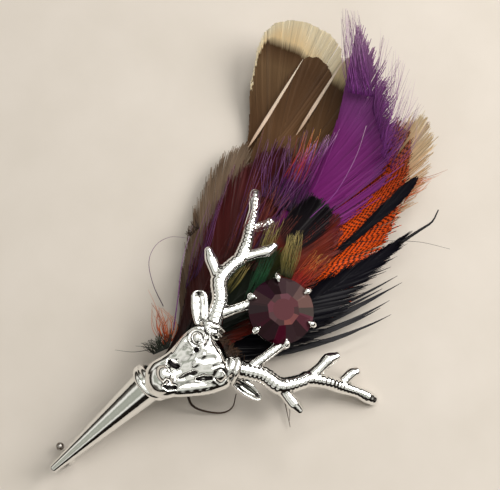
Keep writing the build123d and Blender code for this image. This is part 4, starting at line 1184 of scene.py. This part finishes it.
# Where the pale edge of a feather starts and ends, seen from above
EDGES = {
    "cream_feather_middle": ((-19.3, 15.2), (-27.69, 31.99)),
    "cream_feather_high": ((-16.6, 24.2), (-23.72, 38.83)),
}
FIRST_FEATHER_SEED, FIRST_STRAND_SEED = 10, 40
for number, feather in enumerate(FEATHERS):
    parts = [grown(feather, FIRST_FEATHER_SEED + number), stem_of(feather)]
    materials = [feather.material, feather.material]
    if feather.node in EDGES:
        parts.append(pale_edge(feather.layer, *EDGES[feather.node]))
        materials.append(pale_horn)
    add_feather_piece(f"{feather.node}_barbs_{number}", feather.node, parts, materials)

# Loose strands: name, node, material, how many, the line where they start, the line where they
# end, how far they bow, and their radius
STRANDS = (
    ("gold_herl", "green_feather", gold_strand, 90, (5.7, 7.6, 9), (7.3, 8.9, 9), (0.1, 12.7, 10.4),
     (0.4, 15.5, 10.4), 0.8, 0.055),
    ("gold_herl_left", "green_feather", gold_strand, 34, (1.6, 5.1, 9.2), (2.6, 6.9, 9.2), (-4.2, 10.6, 10.2),
     (-2.7, 13.3, 10.2), 0.5, 0.05),
    ("gold_herl_low", "green_feather", gold_strand, 16, (3.2, -3.1, 9), (4.4, -1.7, 9), (0.6, 2.8, 9.8),
     (1.6, 4.9, 9.8), 0.4, 0.05),
    ("emerald_herl", "green_feather", emerald_strand, 40, (6.6, -0.7, 8.8), (7.1, 3, 8.8), (-0.3, 8.5, 10),
     (1.1, 11, 10), 0.5, 0.07),
    ("fire_strands", "rust_feather", fire_strand, 44, (7.6, 7.7, 8.9), (10, 9.3, 8.9), (5, 15.5, 9.9),
     (7.9, 17.5, 9.9), 0.6, 0.05),
    ("barred_strands", "burgundy_feather", fire_strand, 9, (-9.7, 17.1, 9.6), (-6.7, 19.6, 9.6),
     (-16, 25, 10.2), (-13.1, 28.9, 10.2), 0.6, 0.09),
    ("burgundy_lights", "burgundy_feather", wine_strand, 60, (-2.0, 0.0, 8.4), (3.0, 4.0, 9), (-14, 15, 9.6),
     (-3, 17, 10), 1.2, 0.05),
    ("burgundy_plum", "burgundy_feather", plum_strand, 22, (-4.0, 2.0, 8.2), (0.0, 6.0, 9), (-19, 20, 9.8),
     (-9, 25, 10), 1.4, 0.05),
    ("purple_tip_wisps", "purple_feather", lilac_strand, 60, (-17.1, 34.8, 12.5), (-13.8, 38.7, 12.5),
     (-30.6, 41.4, 17), (-28.8, 43.6, 17), 1.0, 0.055),
    ("purple_right_wisps", "purple_feather", lilac_strand, 50, (-12.4, 37.5, 11.5), (-4.6, 35.4, 11),
     (-23.1, 46.1, 16), (-13.4, 46.5, 15), 1.2, 0.05),
    ("lilac_wisps", "purple_feather", lilac_strand, 28, (-4.7, 34.7, 10.5), (-0.4, 34.9, 10),
     (-13.3, 46.2, 14), (-5.1, 45.4, 13), 0.9, 0.05),
    ("orange_wisps", "orange_feather", peach_strand, 20, (5.0, 34.4, 6.2), (2.2, 37.7, 7.4), (4.3, 39.0, 7.7),
     (4.2, 43.6, 9.3), 0.7, 0.06),
    ("purple_left_streaks", "purple_feather", purple_barbs, 70, (-6.7, 13.2, 5.8), (-2.9, 16.9, 5.8),
     (-13.2, 24.2, 7.0), (-12.9, 30.8, 8.5), 0.9, 0.1),
    ("plum_left_streaks", "purple_feather", plum_strand, 40, (-9.3, 12.5, 5.7), (-5.1, 16.1, 5.6),
     (-17.4, 19.4, 6.6), (-16.4, 27.3, 7.9), 1.0, 0.07),
    ("left_purple_hairs", "tan_feather", plum_strand, 16, (-1.1, -8.6, 6), (-2.4, -4.5, 7), (-14, 4.8, 8),
     (-16.9, 11.4, 9), 1.0, 0.05),
    ("orange_fluff", "burgundy_feather", peach_strand, 36, (6.4, -17, 7.5), (6.2, -15.0, 8), (-3.0, -14.8, 4),
     (1.2, -12.6, 5.5), 1.4, 0.07),
    ("mouth_fuzz", "green_feather", moss_strand, 70, (6.9, -19.4, 9), (7.2, -16.4, 9), (3.2, -21.1, 5),
     (4, -14.2, 8), 0.8, 0.08),
    ("brow_fuzz", "green_feather", brown_strand, 150, (10.4, -9.4, 12.4), (15.8, -8.2, 12), (9.5, -6.8, 10.5),
     (14.6, -5.3, 10), 0.8, 0.08),
    ("brown_tip", "tan_feather", brown_strand, 26, (-9.3, -2.7, 6), (-9.8, -0.6, 6), (-10.4, -3.2, 6),
     (-13.1, 0.7, 6.5), 0.2, 0.1),
)
# Single hairs: name, node, material, radius, and the points they run through
HAIRS = (
    ("purple_loop", "tan_feather", plum_strand, 0.08,
     ((-1.3, -13.2, 1), (-5.4, -12.9, 2.5), (-9.5, -11.5, 3), (-11.6, -8.8, 3), (-11.6, -5.8, 3),
      (-9.8, -3.4, 4))),
    ("orange_hair", "burgundy_feather", peach_strand, 0.07,
     ((6.2, -16.3, 6), (1.7, -15.3, 5), (-1.7, -14.5, 4), (-4.9, -14.2, 3.5))),
    ("purple_strand", "tan_feather", lilac_strand, 0.12,
     ((4.5, -14, 7), (-0.7, -10.1, 6), (-6, -6.3, 5), (-11.1, -1.2, 5))),
    ("green_hair", "green_feather", moss_strand, 0.07, ((5.7, -19.4, 8), (3.9, -22.2, 4), (1.4, -24.9, 1))),
    ("brown_curl", "rust_feather", brown_strand, 0.28,
     ((15.4, -17.4, 5), (17.5, -17.7, 3), (19.3, -16.4, 1.6), (21.2, -13.8, 1), (21.5, -11.6, 2),
      (19.9, -9.8, 4))),
    ("brown_barb", "rust_feather", brown_strand, 0.16,
     ((21.4, -1.9, 3), (24.9, -2.6, 1.5), (29.7, -4.1, 0.6))),
    ("brown_barb_fork", "rust_feather", brown_strand, 0.11,
     ((22.6, -2.3, 2.4), (26.0, -2.2, 1.4), (28.6, -3.6, 0.7))),
    ("lilac_hair", "purple_feather", lilac_strand, 0.1,
     ((-0.4, 17.4, 10.8), (-2.1, 23.7, 10.8), (-5.9, 30.2, 11.3), (-9.8, 34.7, 12.4))),
    ("thin_right_hair", "black_feather", black_barbs, 0.07,
     ((6.2, 17.7, 9), (7, 21.5, 9.2), (9.7, 27.3, 8.5), (12.9, 33, 7), (16.5, 37.5, 5))),
    ("black_hook", "black_feather", black_barbs, 0.35,
     ((11.2, 29.8, 7), (11, 34.1, 7.5), (10.8, 36.8, 7.5), (9.5, 38.9, 7.5))),
)
# How hairs of one group differ: where they end, how much shorter they are, how far they bow to a
# side and how far they rise
DRIFT, SHORTER, BOW_SPREAD, RISEN = 0.18, 0.22, 0.6, 0.15
# The thinnest hair's radius and how much more the thickest one has, as shares of the group's, and
# the share of it that a hair keeps at its tip
THINNEST, THICKER, HAIR_TIP = 0.7, 0.6, 0.35


def tapered_hair(path, radius):
    """A round hair that thins towards its tip."""
    radii = radius * np.linspace(1, HAIR_TIP, len(path))
    points, faces = tube(path, radii, sides=5, step=0.7, ends=1)
    away = np.linalg.norm(points - np.asarray(path[0]), axis=1)
    return points, faces, away / away.max()


def strands(count, starts, ends, bow, radius, seed):
    """Hairs spread between a line where they start and a line where they end."""
    chance = np.random.default_rng(seed)
    parts = []
    for _ in range(count):
        pick = chance.random()
        first = np.array(starts[0]) + (np.array(starts[1]) - starts[0]) * pick
        drift = np.clip(pick + chance.normal(0, DRIFT), -0.1, 1.1)
        last = np.array(ends[0]) + (np.array(ends[1]) - ends[0]) * drift
        last = last - (last - first) * SHORTER * abs(chance.normal())
        side = unit(np.cross(last - first, (0, 0, 1.0)))
        middle = (first + last) / 2 + side * bow * chance.normal(0, BOW_SPREAD)
        middle[2] += RISEN * abs(chance.normal())
        size = radius * (THINNEST + THICKER * chance.random())
        points, faces, reach = tapered_hair([first, middle, last], size)
        parts.append((points, faces, even(points, reach, chance.random())))
    return gathered(parts)


for number, (name, node, material, count, *places, bow, radius) in enumerate(STRANDS):
    group = strands(count, places[:2], places[2:], bow, radius, FIRST_STRAND_SEED + number)
    add_feather_piece(name, node, [group], [material])
for name, node, material, radius, path in HAIRS:
    points, faces, reach = tapered_hair(path, radius)
    add_feather_piece(name, node, [(points, faces, even(points, reach))], [material])

# Biots: loose black spikes, all from one slot of the mouth and on one layer
Biot = namedtuple("Biot", "slot lean curl length")
BIOT_SLOT, BIOT_LAYER, BIOT_REACH = 1.5, 4, 48
shells = []
for lean, curl, length, wide in (
    (-10.5, 10.0, 48.5, 0.8), (-12.5, 11.0, 45.0, 0.9), (-13.5, 12.5, 48.8, 0.8), (-15.5, 15.5, 45.5, 0.9),
    (-17.5, 18.0, 42.0, 0.8), (-20.0, 20.5, 45.5, 0.9), (-21.5, 21.0, 43.5, 0.8), (-22.5, 21.0, 39.5, 0.9),
    (-24.5, 22.0, 45.0, 0.8), (-26.5, 22.0, 40.0, 0.9),
):
    path = feather_path(Biot(BIOT_SLOT, lean, curl, length))[::STEM_SKIP]
    z = sheet_height(path[:, 0], path[:, 1], BIOT_LAYER, BIOT_UP)
    share = np.linspace(0, 1, len(path))
    radii = wide / 2 * np.interp(share, (0, 0.1, 0.6, 0.9, 1), (0.5, 0.9, 1, 0.5, 0.08))
    shells.append(tube(np.column_stack([path[:, 0], path[:, 1], z]), radii, sides=10, step=0.7, flat=0.22))
points, faces = joined(shells)
away = np.hypot(points[:, 0] - MOUTH[0], points[:, 1] - MOUTH[1]) / BIOT_REACH
add_feather_piece("black_biot_spikes", "black_biots", [(points, faces, even(points, away))], [black_barbs])

# Table, lights and camera. The photo's right and upper sides are turned against the part's, and the
# view is centred to the left of the stone and above it.
PHOTO_TURN = radians(30.0)
VIEW_LEFT, VIEW_UP, VIEW_HEIGHT = 5.547, 12.60, 8.0
LEAN = radians(12.0)
DISTANCE = 300.0
TABLE_HALF = 1500
image_right = np.array([sin(PHOTO_TURN), cos(PHOTO_TURN), 0.0])
image_up = np.array([-cos(PHOTO_TURN), sin(PHOTO_TURN), 0.0])
target = STONE_MIDDLE - image_right * VIEW_LEFT + image_up * VIEW_UP
target[2] = VIEW_HEIGHT
eye = target + DISTANCE * (np.array([0, 0, cos(LEAN)]) - image_up * sin(LEAN))


def aimed(made, place, look_at, up):
    """Put a lamp or a camera at a place, facing a point."""
    place, look_at = Vector(place * MM), Vector(look_at * MM)
    back = (place - look_at).normalized()
    side = Vector(up).cross(back).normalized()
    turned = Matrix((side, back.cross(side), back)).transposed().to_4x4()
    made.matrix_world = Matrix.Translation(place) @ turned


lens = bpy.data.cameras.new("camera")
lens.sensor_width = 36.0
lens.lens = 118.68
lens.clip_start = 0.01
lens.clip_end = 20.0
camera = linked("camera", lens)
aimed(camera, eye, target, image_up)
bpy.context.scene.camera = camera
bpy.context.scene.view_settings.view_transform = "Standard"

# Lamps over the middle of the table: how far to the photo's right and up, their height, their size,
# their power in watts and their tint
middle = np.array([0.0, 0.0, 0.0])
for name, right_by, up_by, height, size, power, tint in (
    ("window", 370, 110, 330, 340, 2.25, (1.0, 0.97, 0.93)),
    ("ceiling", 60, 140, 700, 500, 1.5, (1.0, 0.98, 0.95)),
    ("small_lamp", 120, 300, 260, 60, 0.2, (1.0, 0.98, 0.96)),
):
    lamp = bpy.data.lights.new(name, "AREA")
    lamp.shape = "DISK"
    lamp.size = size * MM
    lamp.energy = power
    lamp.color = tint
    above = np.array([0, 0, height])
    place = middle + image_right * right_by + image_up * up_by + above
    aimed(linked(name, lamp), place, middle, (0, 0, 1))

corners = [(x * TABLE_HALF, y * TABLE_HALF, 0) for x, y in ((-1, -1), (1, -1), (1, 1), (-1, 1))]
floor = new_piece("table", corners, [(0, 1, 2, 3)], card, smooth=False)

# Room seen in the plate: dark low down, bright walls and windows with a grey band between them, and
# one dark shape towards the photo's lower side
world = bpy.data.worlds.new("room")
world.use_nodes = True
bpy.context.scene.world = world
tree = world.node_tree
sky = add_node(tree, "ShaderNodeTexCoord", output="Generated")
ROOM_STOPS = (
    (0.0, "#2a2622"), (0.16, "#2a2622"), (0.40, "#7a756e"), (0.5, "#f4f2ea"), (0.6, "#f4f2ea"),
    (0.68, "#a4a69a"), (0.76, "#b0b2a6"), (0.82, "#f4f2ea"), (0.92, "#f0eee6"), (1.0, "#c9cabd"),
)
height = add_node(tree, "ShaderNodeSeparateXYZ", [sky], "Z")
room = add_node(tree, "ShaderNodeValToRGB", [height], "Color", ROOM_STOPS)
both = [sky, tuple(image_right * 0.35 - image_up * 0.94)]
towards_it = add_node(tree, "ShaderNodeVectorMath", both, "Value", operation="DOT_PRODUCT")
edges = {"Value": towards_it, "From Min": 0.72, "From Max": 0.84}
shape = add_node(tree, "ShaderNodeMapRange", edges, "Result")
room = add_node(tree, "ShaderNodeMix", {0: shape, 6: room, 7: linear("#1c1815")}, 2, **BLENDED)
tree.links.new(room, tree.nodes["Background"].inputs["Color"])
# Mirrors see the room brighter than it lights the card
MIRROR_EXTRA, ROOM_LIGHT = 0.5, 0.42
mirrored = add_node(tree, "ShaderNodeLightPath", output="Is Glossy Ray")
light = [mirrored, MIRROR_EXTRA, ROOM_LIGHT]
strength = add_node(tree, "ShaderNodeMath", light, "Value", operation="MULTIPLY_ADD")
tree.links.new(strength, tree.nodes["Background"].inputs["Strength"])
